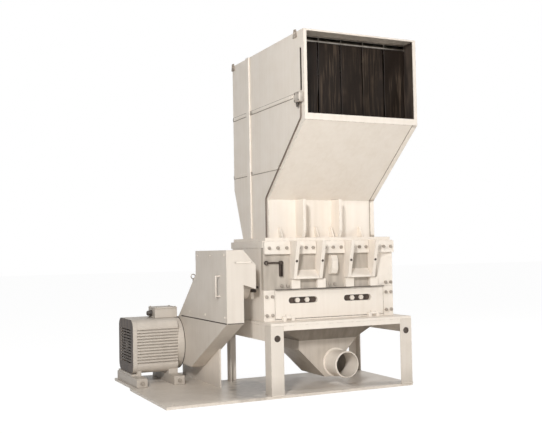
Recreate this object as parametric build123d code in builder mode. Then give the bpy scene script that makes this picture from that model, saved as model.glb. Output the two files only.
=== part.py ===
from build123d import *
from math import asin, cos, degrees, hypot, sin, sqrt, radians
import os

os.makedirs("parts", exist_ok=True)

# Industrial disintegrator: a knife rotor in a heavy chamber on a stand, fed from a tall
# hopper and driven by V-belts from a motor at its left rear.
# Millimetres, X to the right, Y to the rear, Z up; origin on the floor under the rotor's middle.

# Driving dimensions: base plate and stand
base_thick = 20
base_margin = 60
motor_bay_rear = 1060
corner_cut_depth = 130
anchor_hole = 22
anchor_inset_front = 60
anchor_inset_left = 70
anchor_span_x = 1810
anchor_span_y = 700
stand_overhang = 42
stand_depth = 857
stand_height = 550
stand_shift = 20
stand_ledge = 160
leg_width = 106
rear_leg_width = 75
leg_wall = 8
leg_hole = 42
leg_hole_drop = 112
table_thick = 20
rail_thick = 12
end_rail_height = 37
side_rail_height = 115

# Driving dimensions: chamber
chamber_width = 1156
chamber_depth = 600
chamber_height = 611
axis_rise = 280
side_thick = 40
wall_thick = 40
top_flange_thick = 51
top_flange_side = 4
top_flange_rear = 20
seam_gap = 0.4
shaft_hole_gap = 10
post_width = 91
sill_height = 13
door_height = 220
door_thick = 25
door_gap = 4
slot_length = 250
slot_height = 48
slot_spacing = 488
slot_rise = 138
clamp_plate_thick = 10
clamp_plate_lap = 20
door_knuckle_radius = 11
door_pin_radius = 6
door_hinge_spacing = 760
door_knuckle_length = 40
door_axis_rise = 25
door_axis_out = 14

# Driving dimensions: chamber front
bracket_spacing = 478
bracket_shift = 11
bracket_width = 252
bracket_rib = 30
bracket_foot_reach = 58
bracket_head_reach = 130
bracket_height = 293
shelf_rise = 56
shelf_toe = 14
clamp_bar_thick = 28
clamp_bar_height = 95
clamp_bar_drop = 6
clamp_bar_gap = 4
stop_width = 54
stop_reach = 62
stop_height = 160
stop_drop = 6
rib_foot_width = 74
rib_foot_height = 72
rib_foot_thick = 30
rib_foot_gap = 2
bolt_across = 24
bolt_head = 14
lever_radius = 7
lever_pivot_radius = 16
lever_length = 122
lever_eye_radius = 17
lever_jaw = 104
lever_inset = 82
lever_stand_off = 12
lever_rise = 165
knob_radius = 24
knob_thick = 22
knob_stem_radius = 8
knob_stem = 30
knob_arm = 46
knob_front = 60
knob_drop = 20

# Driving dimensions: rotor, knives and screen
rotor_reach = 220
cutting_gap = 1
rotor_hub = 140
rotor_end_gap = 10
knife_count = 3
knife_thick = 22
knife_seat = 70
knife_seat_reach = 195
shaft_radius = 60
running_gap = 0.05
seat_gap = 0.3
bed_knife_height = 34
bed_knife_rise = 8
screen_gap = 12
screen_thick = 8
screen_drop = 40
screen_hole = 30
screen_rows = 5
screen_columns = 11
cradle_depth = 22
cradle_rib = 18
housing_radius = 115
housing_length = 95
housing_flange = 25
housing_cap = 15
bearing_radius = 100
bearing_length = 76

# Driving dimensions: drive
motor_offset = 796
motor_width = 436
motor_underside = 17
motor_height = motor_width / 2 + motor_underside
motor_corner = 70
motor_frame_length = 345
motor_cowl_length = 36
motor_shield_length = 62
motor_shield_inset = 1
motor_shield_radius = motor_width / 2 - motor_shield_inset
motor_wall = 53
motor_bore = motor_width / 2 - motor_wall
motor_air_gap = 2
motor_shaft_radius = 32.5
motor_skin = 4
fin_count = 12
fin_pitch = 24
fin_slot = 10
fin_depth = 16
foot_width = 80
foot_thick = 16
foot_web = 40
foot_reach = 205
foot_overhang = 10
fan_radius = 165
fan_blades = 8
slide_rail_height = 70
slide_rail_width = 90
slide_rail_front = 370
slide_rail_length = 600
terminal_width = 195
terminal_overhang = 38
terminal_depth = 190
terminal_height = 74
terminal_lid = 14
driven_radius = 240
drive_radius = 125
groove_count = 4
groove_pitch = 19
groove_top = 16.4
groove_foot = 8
groove_depth = 15
belt_depth = 12
belt_proud = 1
belt_side_gap = 0.4
pulley_end = 12.5

# Driving dimensions: belt guard
guard_stand_off = 185
guard_width = 137
guard_sheet = 4
guard_front = 349
guard_top = 267
guard_rear = 305
guard_knee = 82
guard_seam = 274
guard_tail = 254
guard_floor = 151
guard_toe = 350
guard_slot = 72
hood_reach = 100
hood_depth = 144
hood_drop = 292
hood_chamfer = 113
hood_slant = 34
handle_length = 162
handle_radius = 6
handle_out = 34
handle_front = 220
ring_radius = 28
ring_wire = 6
support_thick = 12

# Driving dimensions: discharge
chute_sheet = 5
chute_lip = 23
chute_top_depth = 500
chute_box_left = 238
chute_box_right = 298
chute_box_depth = 400
chute_box_height = 305
chute_floor = 85
chute_heel = 225
chute_toe = 108
outlet_radius = 100
outlet_wall = 5
outlet_length = 190
outlet_right = 85
outlet_collar = 14
outlet_collar_thick = 8

# Driving dimensions: hopper
hopper_width = 960
hopper_sheet = 6
hopper_flange_thick = 25
hopper_flange_out = 80
hopper_flange_front = 106
throat_front = 194
throat_rear = 303
throat_height = 298
mouth_front = 826
mouth_bottom = 853
hopper_height = 1503
hopper_rear = 474
rear_knee = 448
frame_thick = 6
frame_side = 26
frame_bottom = 47
frame_top = 12
stiffener_width = 60
stiffener_reach = 14
stiffener_rear = 140
gusset_thick = 26
gusset_reach = 131
gusset_left = 231
gusset_right = 90
cleat_thick = 14
cleat_reach = 66
cleat_height = 84
lug_width = 54
lug_height = 60
lug_thick = 12
lug_inset = 86
lug_hole = 24
tilt_axis_rear = 345
tilt_axis_rise = 19
tilt_pin_radius = 12
tilt_lug_radius = 26
tilt_lug_thick = 36
tilt_ear_thick = 20
tilt_spacing = 820
switch_width = 84
switch_height = 72
switch_depth = 40
switch_front = 826
switch_lift = 127
sight_slot_width = 24
sight_slot_length = 315
sight_slot_front = 41
sight_slot_top = 124
conduit_radius = 6
conduit_inset = 26
curtain_inset = 142
curtain_drop = 37
curtain_rail_width = 24
curtain_rod_radius = 10
curtain_loop = 5
curtain_thick = 6
curtain_length = 560
strip_count = 5
strip_gap = 10
hanger_thick = 6

# Levels and limits that follow from the driving dimensions
table_under = stand_height - table_thick
axis_z = stand_height + axis_rise
flange_under = stand_height + chamber_height - top_flange_thick
chamber_top = stand_height + chamber_height
half_chamber = chamber_width / 2
front = -chamber_depth / 2
rear = chamber_depth / 2
inner_front = front + wall_thick
inner_rear = rear - wall_thick
inner_half = half_chamber - side_thick
stand_width = chamber_width + 2 * stand_overhang
stand_left = stand_shift - stand_width / 2
stand_right = stand_shift + stand_width / 2
stand_front = front - stand_ledge
stand_rear = stand_front + stand_depth
guard_right = -half_chamber - guard_stand_off
guard_left = guard_right - guard_width
pulley_x = (guard_left + guard_right) / 2
motor_right = guard_left - 3
motor_left = motor_right - motor_shield_length - motor_frame_length - motor_cowl_length
motor_z = base_thick + slide_rail_height + motor_height
rotor_half = inner_half - rotor_end_gap
throat_half = hopper_width / 2 - hopper_sheet
hopper_bottom = chamber_top + hopper_flange_thick


def block(x0, x1, y0, y1, z0, z1, mode=Mode.ADD):
    """Rectangular block between two limits on each axis."""
    with Locations(((x0 + x1) / 2, (y0 + y1) / 2, (z0 + z1) / 2)):
        Box(x1 - x0, y1 - y0, z1 - z0, mode=mode)


def side_plate(points, x0, x1, mode=Mode.ADD):
    """Flat plate with its outline in (Y, Z) points, between two X limits."""
    with BuildSketch(Plane.YZ.offset(x0)) as outline:
        with BuildLine():
            Polyline(*points, close=True)
        make_face()
    extrude(outline.sketch, amount=x1 - x0, mode=mode)


def front_plate(points, y0, y1, mode=Mode.ADD):
    """Flat plate with its outline in (X, Z) points, between two Y limits."""
    with BuildSketch(Plane.XZ.offset(-y1)) as outline:
        with BuildLine():
            Polyline(*points, close=True)
        make_face()
    extrude(outline.sketch, amount=y1 - y0, mode=mode)


def rod(x0, x1, y, z, radius, mode=Mode.ADD):
    """Round bar along X between two limits."""
    with Locations(((x0 + x1) / 2, y, z)):
        Cylinder(radius, x1 - x0, rotation=(0, 90, 0), mode=mode)


def turned(profile, y, z):
    """Solid turned about a line along X through (y, z), from (X, radius) points."""
    with BuildSketch(Plane((0, y, z), x_dir=(1, 0, 0), z_dir=(0, -1, 0))) as half:
        with BuildLine():
            Polyline(*profile, close=True)
        make_face()
    revolve(half.sketch, axis=Axis((0, y, z), (1, 0, 0)))


def hex_heads(plane, spots, across, height):
    """Hexagon bolt heads standing on a plane at its own (u, v) spots."""
    with BuildSketch(plane) as heads:
        with Locations(*spots):
            RegularPolygon(across / 2, 6, major_radius=False)
    extrude(heads.sketch, amount=height)


def inset(points, amount):
    """Corner points of an open outline moved to its left by amount, mitred at the bends."""
    lines = []
    for (a, b), (c, d) in zip(points, points[1:]):
        run = hypot(c - a, d - b)
        normal = (-(d - b) / run * amount, (c - a) / run * amount)
        lines.append(((a + normal[0], b + normal[1]), (c + normal[0], d + normal[1])))
    moved = [lines[0][0]]
    for (p, q), (r, s) in zip(lines, lines[1:]):
        u = (q[0] - p[0], q[1] - p[1])
        v = (s[0] - r[0], s[1] - r[1])
        t = ((r[0] - p[0]) * v[1] - (r[1] - p[1]) * v[0]) / (u[0] * v[1] - u[1] * v[0])
        moved.append((p[0] + t * u[0], p[1] + t * u[1]))
    return moved + [lines[-1][1]]


def finish(built, name):
    """Names a finished piece and writes it to its own file."""
    built.part.label = name
    export_step(built.part, f"parts/{name}.step")


# Base plate, with a narrower bay at the rear under the motor
base_left = motor_left - base_margin
base_rear = stand_rear + base_margin
bay_left = motor_left - base_margin / 2
bay_right = guard_right + base_margin
anchor_x = base_left + anchor_inset_left + anchor_span_x / 2
anchor_y = stand_front + anchor_inset_front + anchor_span_y / 2
with BuildPart() as base_plate:
    with BuildSketch():
        with BuildLine():
            Polyline(
                (base_left, stand_front),
                (stand_right, stand_front),
                (stand_right, base_rear),
                (bay_right, base_rear),
                (bay_right, motor_bay_rear),
                (bay_left, motor_bay_rear),
                (bay_left, base_rear + corner_cut_depth),
                (base_left, base_rear),
                close=True,
            )
        make_face()
        with Locations((anchor_x, anchor_y)):
            with GridLocations(anchor_span_x, anchor_span_y, 2, 2):
                Circle(anchor_hole / 2, mode=Mode.SUBTRACT)
    extrude(amount=base_thick)
finish(base_plate, "base_plate")

# Stand: four angle legs, four rails and the table that the chamber sits on
leg_x = (stand_left + leg_width / 2, stand_right - leg_width / 2)
with BuildPart() as stand_legs:
    for width, corner_y, inward in ((leg_width, stand_front, 1), (rear_leg_width, stand_rear, -1)):
        for corner_x, side in ((stand_left, 1), (stand_right, -1)):
            across = sorted((corner_x, corner_x + side * width))
            across_thick = sorted((corner_y, corner_y + inward * leg_wall))
            along = sorted((corner_y, corner_y + inward * width))
            along_thick = sorted((corner_x, corner_x + side * leg_wall))
            block(*across, *across_thick, base_thick, table_under)
            block(*along_thick, *along, base_thick, table_under)
    with BuildSketch(Plane.XZ.offset(-stand_front)):
        with Locations(*[(x, stand_height - leg_hole_drop) for x in leg_x]):
            Circle(leg_hole / 2)
    extrude(amount=-1.5 * leg_wall, mode=Mode.SUBTRACT)
finish(stand_legs, "stand_legs")

with BuildPart() as stand_rails:
    rail_x = (stand_left + leg_width, stand_right - leg_width)
    rear_x = (stand_left + rear_leg_width, stand_right - rear_leg_width)
    rail_y = (stand_front + leg_width, stand_rear - rear_leg_width)
    block(*rail_x, stand_front, stand_front + rail_thick, table_under - end_rail_height, table_under)
    block(*rear_x, stand_rear - rail_thick, stand_rear, table_under - end_rail_height, table_under)
    block(stand_left, stand_left + rail_thick, *rail_y, table_under - side_rail_height, table_under)
    block(stand_right - rail_thick, stand_right, *rail_y, table_under - side_rail_height, table_under)
finish(stand_rails, "stand_rails")

chute_top_width = 2 * (inner_half - chute_lip)
table_hole_x = chute_top_width / 2
table_hole_y = chute_top_depth / 2
with BuildPart() as stand_table:
    block(stand_left, stand_right, stand_front, -table_hole_y, table_under, stand_height)
    block(stand_left, stand_right, table_hole_y, stand_rear, table_under, stand_height)
    strip_y = (seam_gap - table_hole_y, table_hole_y - seam_gap)
    block(stand_left, -table_hole_x, *strip_y, table_under, stand_height)
    block(table_hole_x, stand_right, *strip_y, table_under, stand_height)
finish(stand_table, "stand_table")

# Chamber sides, bored for the rotor shaft
for name, x0 in (("chamber_left_side", -half_chamber), ("chamber_right_side", inner_half)):
    with BuildPart() as chamber_side:
        block(x0, x0 + side_thick, inner_front, inner_rear, stand_height, flange_under)
        rod(x0, x0 + side_thick, 0, axis_z, shaft_radius + shaft_hole_gap, mode=Mode.SUBTRACT)
    finish(chamber_side, name)

# Chamber front: the upper wall, a post at each end and the sill under the door
door_bottom = stand_height + sill_height + door_gap
door_top = door_bottom + door_height
door_half = half_chamber - post_width - door_gap
with BuildPart() as chamber_front_frame:
    block(-half_chamber, half_chamber, front, inner_front, door_top + door_gap, flange_under)
    for x0 in (-half_chamber, half_chamber - post_width):
        post_z = (stand_height, door_top + door_gap - seam_gap)
        block(x0, x0 + post_width, front, inner_front, *post_z)
    sill_x = half_chamber - post_width - seam_gap
    block(-sill_x, sill_x, front, inner_front, stand_height, stand_height + sill_height)
finish(chamber_front_frame, "chamber_front_frame")

with BuildPart() as chamber_rear_wall:
    block(-half_chamber, half_chamber, inner_rear, rear, stand_height, flange_under)
finish(chamber_rear_wall, "chamber_rear_wall")

# Top flange of the chamber, four bars around the feed opening
flange_half = half_chamber + top_flange_side
flange_front = front
flange_rear = rear + top_flange_rear
feed_half = throat_half - hopper_sheet
feed_front = hopper_sheet - throat_front
feed_rear = inner_rear
with BuildPart() as chamber_top_flange:
    block(-flange_half, flange_half, flange_front, feed_front, flange_under, chamber_top)
    block(-flange_half, flange_half, feed_rear, flange_rear, flange_under, chamber_top)
    bar_y = (feed_front + seam_gap, feed_rear - seam_gap)
    block(-flange_half, -feed_half, *bar_y, flange_under, chamber_top)
    block(feed_half, flange_half, *bar_y, flange_under, chamber_top)
finish(chamber_top_flange, "chamber_top_flange")

# Two U-shaped brackets on the front, each with a sloping shelf between its ribs, and a bowed stop
bracket_bottom = chamber_top - bracket_height
bracket_middles = (bracket_shift - bracket_spacing / 2, bracket_shift + bracket_spacing / 2)
bar_top = chamber_top - clamp_bar_drop
bar_bottom = bar_top - clamp_bar_height
with BuildPart() as front_brackets:
    for middle in bracket_middles:
        left = middle - bracket_width / 2
        right = middle + bracket_width / 2
        rib = [
            (front, bracket_bottom),
            (front - bracket_foot_reach, bracket_bottom),
            (front - bracket_head_reach, chamber_top),
            (front, chamber_top),
        ]
        side_plate(rib, left, left + bracket_rib)
        side_plate(rib, right - bracket_rib, right)
        shelf = [
            (front, bracket_bottom),
            (front - bracket_foot_reach, bracket_bottom),
            (front - bracket_foot_reach, bracket_bottom + shelf_toe),
            (front, bracket_bottom + shelf_toe + shelf_rise),
        ]
        side_plate(shelf, left + bracket_rib + seam_gap, right - bracket_rib - seam_gap)
        foot_top = bracket_bottom - rib_foot_gap
        for x in (left, right - bracket_rib):
            foot_z = (foot_top - rib_foot_height, foot_top)
            block(x, x + rib_foot_width, front - rib_foot_thick, front, *foot_z)
    stop_top = bar_bottom - stop_drop
    stop = [
        (front, stop_top),
        (front - stop_reach * 0.7, stop_top - stop_height * 0.06),
        (front - stop_reach, stop_top - stop_height * 0.3),
        (front - stop_reach, stop_top - stop_height * 0.7),
        (front - stop_reach * 0.7, stop_top - stop_height * 0.94),
        (front, stop_top - stop_height),
    ]
    side_plate(stop, bracket_shift - stop_width / 2, bracket_shift + stop_width / 2)
finish(front_brackets, "front_brackets")

# Clamp bars along the top of the front, in and beside the brackets
clamp_bar_front = front - clamp_bar_thick
clamp_bar_z = (bar_bottom, bar_top)
bar_edges = [-half_chamber]
for middle in bracket_middles:
    left = middle - bracket_width / 2
    right = middle + bracket_width / 2
    bar_edges += [left - clamp_bar_gap, left + bracket_rib + clamp_bar_gap]
    bar_edges += [right - bracket_rib - clamp_bar_gap, right + clamp_bar_gap]
bar_edges.append(half_chamber)
clamp_bar_spans = list(zip(bar_edges[0::2], bar_edges[1::2]))
with BuildPart() as front_clamp_bars:
    for x0, x1 in clamp_bar_spans:
        block(x0, x1, clamp_bar_front, front, *clamp_bar_z)
finish(front_clamp_bars, "front_clamp_bars")

# Bolts of the clamp bars, of the bed knives and of the end posts
knife_bolt_z = axis_z - bolt_across / 2
with BuildPart() as chamber_bolts:
    bar_spots = []
    for x0, x1 in clamp_bar_spans:
        step = (x1 - x0) / 3
        bar_spots += [(x0 + step / 2 + step * i, sum(clamp_bar_z) / 2) for i in range(3)]
    hex_heads(Plane.XZ.offset(-clamp_bar_front), bar_spots, bolt_across, bolt_head)
    knife_spots = []
    middles = [(a + b) / 2 for a, b in ((-half_chamber, bracket_middles[0]), bracket_middles)]
    for x in (*middles, half_chamber - post_width / 2):
        knife_spots += [(x - bolt_across, knife_bolt_z), (x + bolt_across, knife_bolt_z)]
    hex_heads(Plane.XZ.offset(-front), knife_spots, bolt_across, bolt_head)
    post_spots = []
    for x in (-half_chamber + post_width / 2, half_chamber - post_width / 2):
        for z in (stand_height + bolt_across * 2, door_top - bolt_across * 2):
            post_spots += [(x - bolt_across, z), (x + bolt_across, z)]
    hex_heads(Plane.XZ.offset(-front), post_spots, bolt_across, bolt_head)
finish(chamber_bolts, "chamber_bolts")

# Bed knives on the front and rear walls, just outside the cutting circle
with BuildPart() as bed_knives:
    knife_x = inner_half - seam_gap
    knife_low = axis_z + bed_knife_rise
    knife_z = (knife_low, knife_low + bed_knife_height)
    knife_edge = rotor_reach + cutting_gap
    block(-knife_x, knife_x, inner_front, -knife_edge, *knife_z)
    block(-knife_x, knife_x, knife_edge, inner_rear, *knife_z)
finish(bed_knives, "bed_knives")

# Perforated screen, a trough under the rotor
screen_radius = rotor_reach + screen_gap
with BuildPart() as screen:
    with BuildSketch(Plane.YZ.offset(-inner_half + seam_gap)):
        with Locations((0, axis_z)):
            Circle(screen_radius + screen_thick)
            Circle(screen_radius, mode=Mode.SUBTRACT)
        with Locations((0, axis_z - screen_drop - screen_radius)):
            Rectangle(4 * screen_radius, 2 * screen_radius, mode=Mode.INTERSECT)
    extrude(amount=2 * inner_half - 2 * seam_gap)
    for row in range(screen_rows):
        turn = radians(120 * (row / (screen_rows - 1) - 0.5))
        ray = Plane((0, 0, axis_z), x_dir=(1, 0, 0), z_dir=(0, sin(turn), -cos(turn)))
        with BuildSketch(ray):
            with GridLocations(2 * rotor_half / screen_columns, 0, screen_columns, 1):
                Circle(screen_hole / 2)
        extrude(amount=screen_radius + 2 * screen_thick, mode=Mode.SUBTRACT)
finish(screen, "screen")

# Cradle that carries the screen: arched ribs on a keel bar, fixed to the chamber sides
cradle_inner = screen_radius + screen_thick + seat_gap
with BuildPart() as screen_cradle:
    for x in (-inner_half, -inner_half / 2, -cradle_rib / 2, inner_half / 2 - cradle_rib, inner_half - cradle_rib):
        with BuildSketch(Plane.YZ.offset(x)):
            with Locations((0, axis_z)):
                Circle(cradle_inner + cradle_depth)
                Circle(cradle_inner, mode=Mode.SUBTRACT)
            with Locations((0, axis_z - 2 * screen_drop - cradle_inner)):
                Rectangle(4 * cradle_inner, 2 * cradle_inner, mode=Mode.INTERSECT)
        extrude(amount=cradle_rib)
    keel_top = axis_z - cradle_inner - cradle_depth / 2
    block(-inner_half, inner_half, -cradle_rib, cradle_rib, keel_top - cradle_rib, keel_top)
finish(screen_cradle, "screen_cradle")

# Rotor shaft, from the right bearing to the driven pulley
shaft_left = guard_left + guard_sheet + 10
shaft_right = half_chamber + housing_length + 12
with BuildPart() as rotor_shaft:
    rod(shaft_left, shaft_right, 0, axis_z, shaft_radius)
finish(rotor_shaft, "rotor_shaft")

# Rotor body with a flat seat for each fly knife, then the knives and their bolts
knife_inner = rotor_hub + seat_gap
knife_outer = sqrt(rotor_reach**2 - knife_thick**2)
seat_planes = [
    Plane((0, 0, axis_z), x_dir=(1, 0, 0), z_dir=(0, cos(radians(a)), sin(radians(a))))
    for a in range(15, 375, 360 // knife_count)
]
with BuildPart() as rotor_core:
    rod(-rotor_half, rotor_half, 0, axis_z, rotor_hub)
    for seat in seat_planes:
        with BuildSketch(seat):
            with Locations((0, -knife_seat / 2)):
                Rectangle(2 * rotor_half, knife_seat)
        extrude(amount=knife_seat_reach)
    rod(-rotor_half, rotor_half, 0, axis_z, shaft_radius + running_gap, mode=Mode.SUBTRACT)
finish(rotor_core, "rotor_core")

with BuildPart() as fly_knives:
    for seat in seat_planes:
        with BuildSketch(seat.offset(knife_inner)):
            with Locations((0, knife_thick / 2)):
                Rectangle(2 * rotor_half, knife_thick)
        extrude(amount=knife_outer - knife_inner)
finish(fly_knives, "fly_knives")

with BuildPart() as fly_knife_bolts:
    bolt_count = 8
    for seat in seat_planes:
        face = Plane(
            seat.origin + seat.z_dir * (knife_inner + knife_outer) / 2 + seat.y_dir * knife_thick,
            x_dir=(1, 0, 0),
            z_dir=seat.y_dir,
        )
        with BuildSketch(face):
            with GridLocations(2 * rotor_half / bolt_count, 0, bolt_count, 1):
                RegularPolygon(bolt_across / 2, 6, major_radius=False)
        extrude(amount=bolt_head)
finish(fly_knife_bolts, "fly_knife_bolts")

# Flanged bearing housings outside the chamber sides, and the bearings in them
housing_bore = bearing_radius + running_gap
with BuildPart() as bearing_housings:
    for side in (-1, 1):
        inner = side * half_chamber
        flange = sorted((inner, inner + side * housing_flange))
        body = sorted((inner, inner + side * housing_length))
        pocket = sorted((inner, inner + side * (housing_length - housing_cap)))
        block(*flange, -housing_radius, housing_radius, axis_z - housing_radius, axis_z + housing_radius)
        rod(*body, 0, axis_z, housing_radius)
        rod(*pocket, 0, axis_z, housing_bore, mode=Mode.SUBTRACT)
        rod(*body, 0, axis_z, shaft_radius + shaft_hole_gap / 2, mode=Mode.SUBTRACT)
finish(bearing_housings, "bearing_housings")

with BuildPart() as shaft_bearings:
    for side in (-1, 1):
        outer = side * (half_chamber + housing_length - housing_cap)
        span = sorted((outer, outer - side * bearing_length))
        rod(*span, 0, axis_z, bearing_radius)
        rod(*span, 0, axis_z, shaft_radius + running_gap, mode=Mode.SUBTRACT)
finish(shaft_bearings, "shaft_bearings")


def pulley_profile(radius, bore):
    """Half section of a grooved pulley: straight ends, V-grooves, and the bore."""
    half = (groove_count - 1) * groove_pitch / 2 + pulley_end
    profile = [(pulley_x - half, bore), (pulley_x - half, radius)]
    for i in range(groove_count):
        middle = pulley_x + (i - (groove_count - 1) / 2) * groove_pitch
        profile.append((middle - groove_top / 2, radius))
        profile.append((middle - groove_foot / 2, radius - groove_depth))
        profile.append((middle + groove_foot / 2, radius - groove_depth))
        profile.append((middle + groove_top / 2, radius))
    return profile + [(pulley_x + half, radius), (pulley_x + half, bore)]


with BuildPart() as driven_pulley:
    turned(pulley_profile(driven_radius, shaft_radius + running_gap), 0, axis_z)
finish(driven_pulley, "driven_pulley")

with BuildPart() as drive_pulley:
    turned(pulley_profile(drive_radius, motor_shaft_radius + running_gap), motor_offset, motor_z)
finish(drive_pulley, "drive_pulley")

# V-belts, each a closed loop of two straight runs and two arcs
centre_line = Vector(motor_offset, motor_z - axis_z)
along = centre_line.normalized()
across = Vector(-along.Y, along.X)
lean = asin((driven_radius - drive_radius) / centre_line.length)
top_normal = along * sin(lean) + across * cos(lean)
low_normal = along * sin(lean) - across * cos(lean)
belt_slope = (groove_top - groove_foot) / 2 / groove_depth
belt_top = groove_top / 2 + belt_slope * belt_proud - belt_side_gap * hypot(1, belt_slope)
belt_foot = belt_top - belt_slope * belt_depth
rotor_centre = Vector(0, axis_z)
motor_centre = Vector(motor_offset, motor_z)
big = driven_radius + belt_proud - belt_depth / 2
small = drive_radius + belt_proud - belt_depth / 2
loop_spots = [
    rotor_centre + top_normal * big,
    motor_centre + top_normal * small,
    motor_centre + along * small,
    motor_centre + low_normal * small,
    rotor_centre + low_normal * big,
    rotor_centre - along * big,
]
with BuildPart() as v_belts:
    for i in range(groove_count):
        belt_x = pulley_x + (i - (groove_count - 1) / 2) * groove_pitch
        spots = [(spot.X, spot.Y) for spot in loop_spots]
        with BuildLine(Plane.YZ.offset(belt_x)) as loop:
            Line(spots[0], spots[1])
            ThreePointArc(spots[1], spots[2], spots[3])
            Line(spots[3], spots[4])
            ThreePointArc(spots[4], spots[5], spots[0])
        start = Plane(loop.wires()[0] @ 0, x_dir=(1, 0, 0), z_dir=loop.wires()[0] % 0)
        outward = 1 if start.y_dir.Z > 0 else -1
        with BuildSketch(start) as section:
            with BuildLine():
                Polyline(
                    (-belt_top, outward * belt_depth / 2),
                    (belt_top, outward * belt_depth / 2),
                    (belt_foot, -outward * belt_depth / 2),
                    (-belt_foot, -outward * belt_depth / 2),
                    close=True,
                )
            make_face()
        sweep(section.sketch, path=loop.wires()[0])
finish(v_belts, "v_belts")

# Motor: finned frame on two feet bars, end shields, fan cowl, terminal box and slide rails
frame_left = motor_left + motor_cowl_length
frame_right = frame_left + motor_frame_length
foot_left = (motor_left - foot_overhang, frame_right - foot_width)
rail_top = base_thick + slide_rail_height
with BuildPart() as motor_frame:
    with BuildSketch(Plane.YZ.offset(frame_left)):
        with Locations((motor_offset, motor_z)):
            RectangleRounded(motor_width, motor_width, motor_corner)
            Circle(motor_bore, mode=Mode.SUBTRACT)
            with GridLocations(motor_width - fin_depth, fin_pitch, 2, fin_count):
                Rectangle(fin_depth, fin_slot, mode=Mode.SUBTRACT)
    extrude(amount=motor_frame_length)
    foot_y = (motor_offset - foot_reach, motor_offset + foot_reach)
    for x in foot_left:
        block(x, x + foot_width, *foot_y, rail_top, rail_top + foot_thick)
        block(max(x, frame_left), x + foot_width, *foot_y, rail_top, rail_top + foot_web)
finish(motor_frame, "motor_frame")

shield_bore = motor_shaft_radius + running_gap
with BuildPart() as motor_end_shields:
    rod(frame_right, motor_right, motor_offset, motor_z, motor_shield_radius)
    inner_shield = (frame_left, frame_left + motor_shield_length / 2)
    rod(*inner_shield, motor_offset, motor_z, motor_bore - seat_gap)
    rod(frame_left, motor_right, motor_offset, motor_z, shield_bore, mode=Mode.SUBTRACT)
finish(motor_end_shields, "motor_end_shields")

with BuildPart() as motor_fan_cowl:
    with BuildSketch(Plane.YZ.offset(motor_left)):
        with Locations((motor_offset, motor_z)):
            RectangleRounded(motor_width, motor_width, motor_corner)
            with GridLocations(0, fin_pitch, 1, fin_count):
                SlotOverall(motor_width * 0.7, fin_slot, mode=Mode.SUBTRACT)
    extrude(amount=motor_skin)
    with BuildSketch(Plane.YZ.offset(motor_left + motor_skin)):
        with Locations((motor_offset, motor_z)):
            RectangleRounded(motor_width, motor_width, motor_corner)
            hollow = motor_width - 2 * motor_skin
            RectangleRounded(hollow, hollow, motor_corner - motor_skin, mode=Mode.SUBTRACT)
    extrude(amount=motor_cowl_length - motor_skin)
finish(motor_fan_cowl, "motor_fan_cowl")

terminal_right = frame_right + terminal_overhang
terminal_x = (terminal_right - terminal_width, terminal_right)
terminal_y = (motor_offset - terminal_depth / 2, motor_offset + terminal_depth / 2)
terminal_floor = motor_z + motor_width / 2
with BuildPart() as terminal_box:
    block(*terminal_x, *terminal_y, terminal_floor, terminal_floor + terminal_height)
finish(terminal_box, "terminal_box")

with BuildPart() as terminal_box_lid:
    lid_z = terminal_floor + terminal_height
    block(*terminal_x, *terminal_y, lid_z, lid_z + terminal_lid)
finish(terminal_box_lid, "terminal_box_lid")

with BuildPart() as motor_slide_rails:
    for x in foot_left:
        middle = x + foot_width / 2
        x_limits = (middle - slide_rail_width / 2, middle + slide_rail_width / 2)
        y0 = motor_offset - slide_rail_front
        block(*x_limits, y0, y0 + slide_rail_length, base_thick, rail_top)
finish(motor_slide_rails, "motor_slide_rails")

# Motor shaft with its core, and the fan at the left end
fan_left = motor_left + motor_skin + 6
fan_right = frame_left - 6
core_left = frame_left + motor_shield_length
core_right = frame_right - motor_shield_length / 4
core_radius = motor_bore - motor_air_gap
shaft_end = guard_right - guard_sheet - 12
with BuildPart() as motor_rotor:
    rotor_half_section = [
        (fan_left, 0),
        (fan_left, motor_shaft_radius),
        (core_left, motor_shaft_radius),
        (core_left, core_radius),
        (core_right, core_radius),
        (core_right, motor_shaft_radius),
        (shaft_end, motor_shaft_radius),
        (shaft_end, 0),
    ]
    turned(rotor_half_section, motor_offset, motor_z)
finish(motor_rotor, "motor_rotor")

with BuildPart() as cooling_fan:
    fan_hub = motor_shaft_radius * 1.8
    rod(fan_right - motor_skin, fan_right, motor_offset, motor_z, fan_radius)
    rod(fan_left, fan_right, motor_offset, motor_z, fan_hub)
    for i in range(fan_blades):
        turn = radians(360 / fan_blades * i)
        blade = Plane((0, motor_offset, motor_z), x_dir=(1, 0, 0), z_dir=(0, cos(turn), sin(turn)))
        with BuildSketch(blade.offset(fan_hub - motor_skin)):
            with Locations(((fan_left + fan_right) / 2, 0)):
                Rectangle(fan_right - fan_left, motor_skin)
        extrude(amount=fan_radius - fan_hub)
    rod(fan_left, fan_right, motor_offset, motor_z, shield_bore, mode=Mode.SUBTRACT)
finish(cooling_fan, "cooling_fan")

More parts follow.
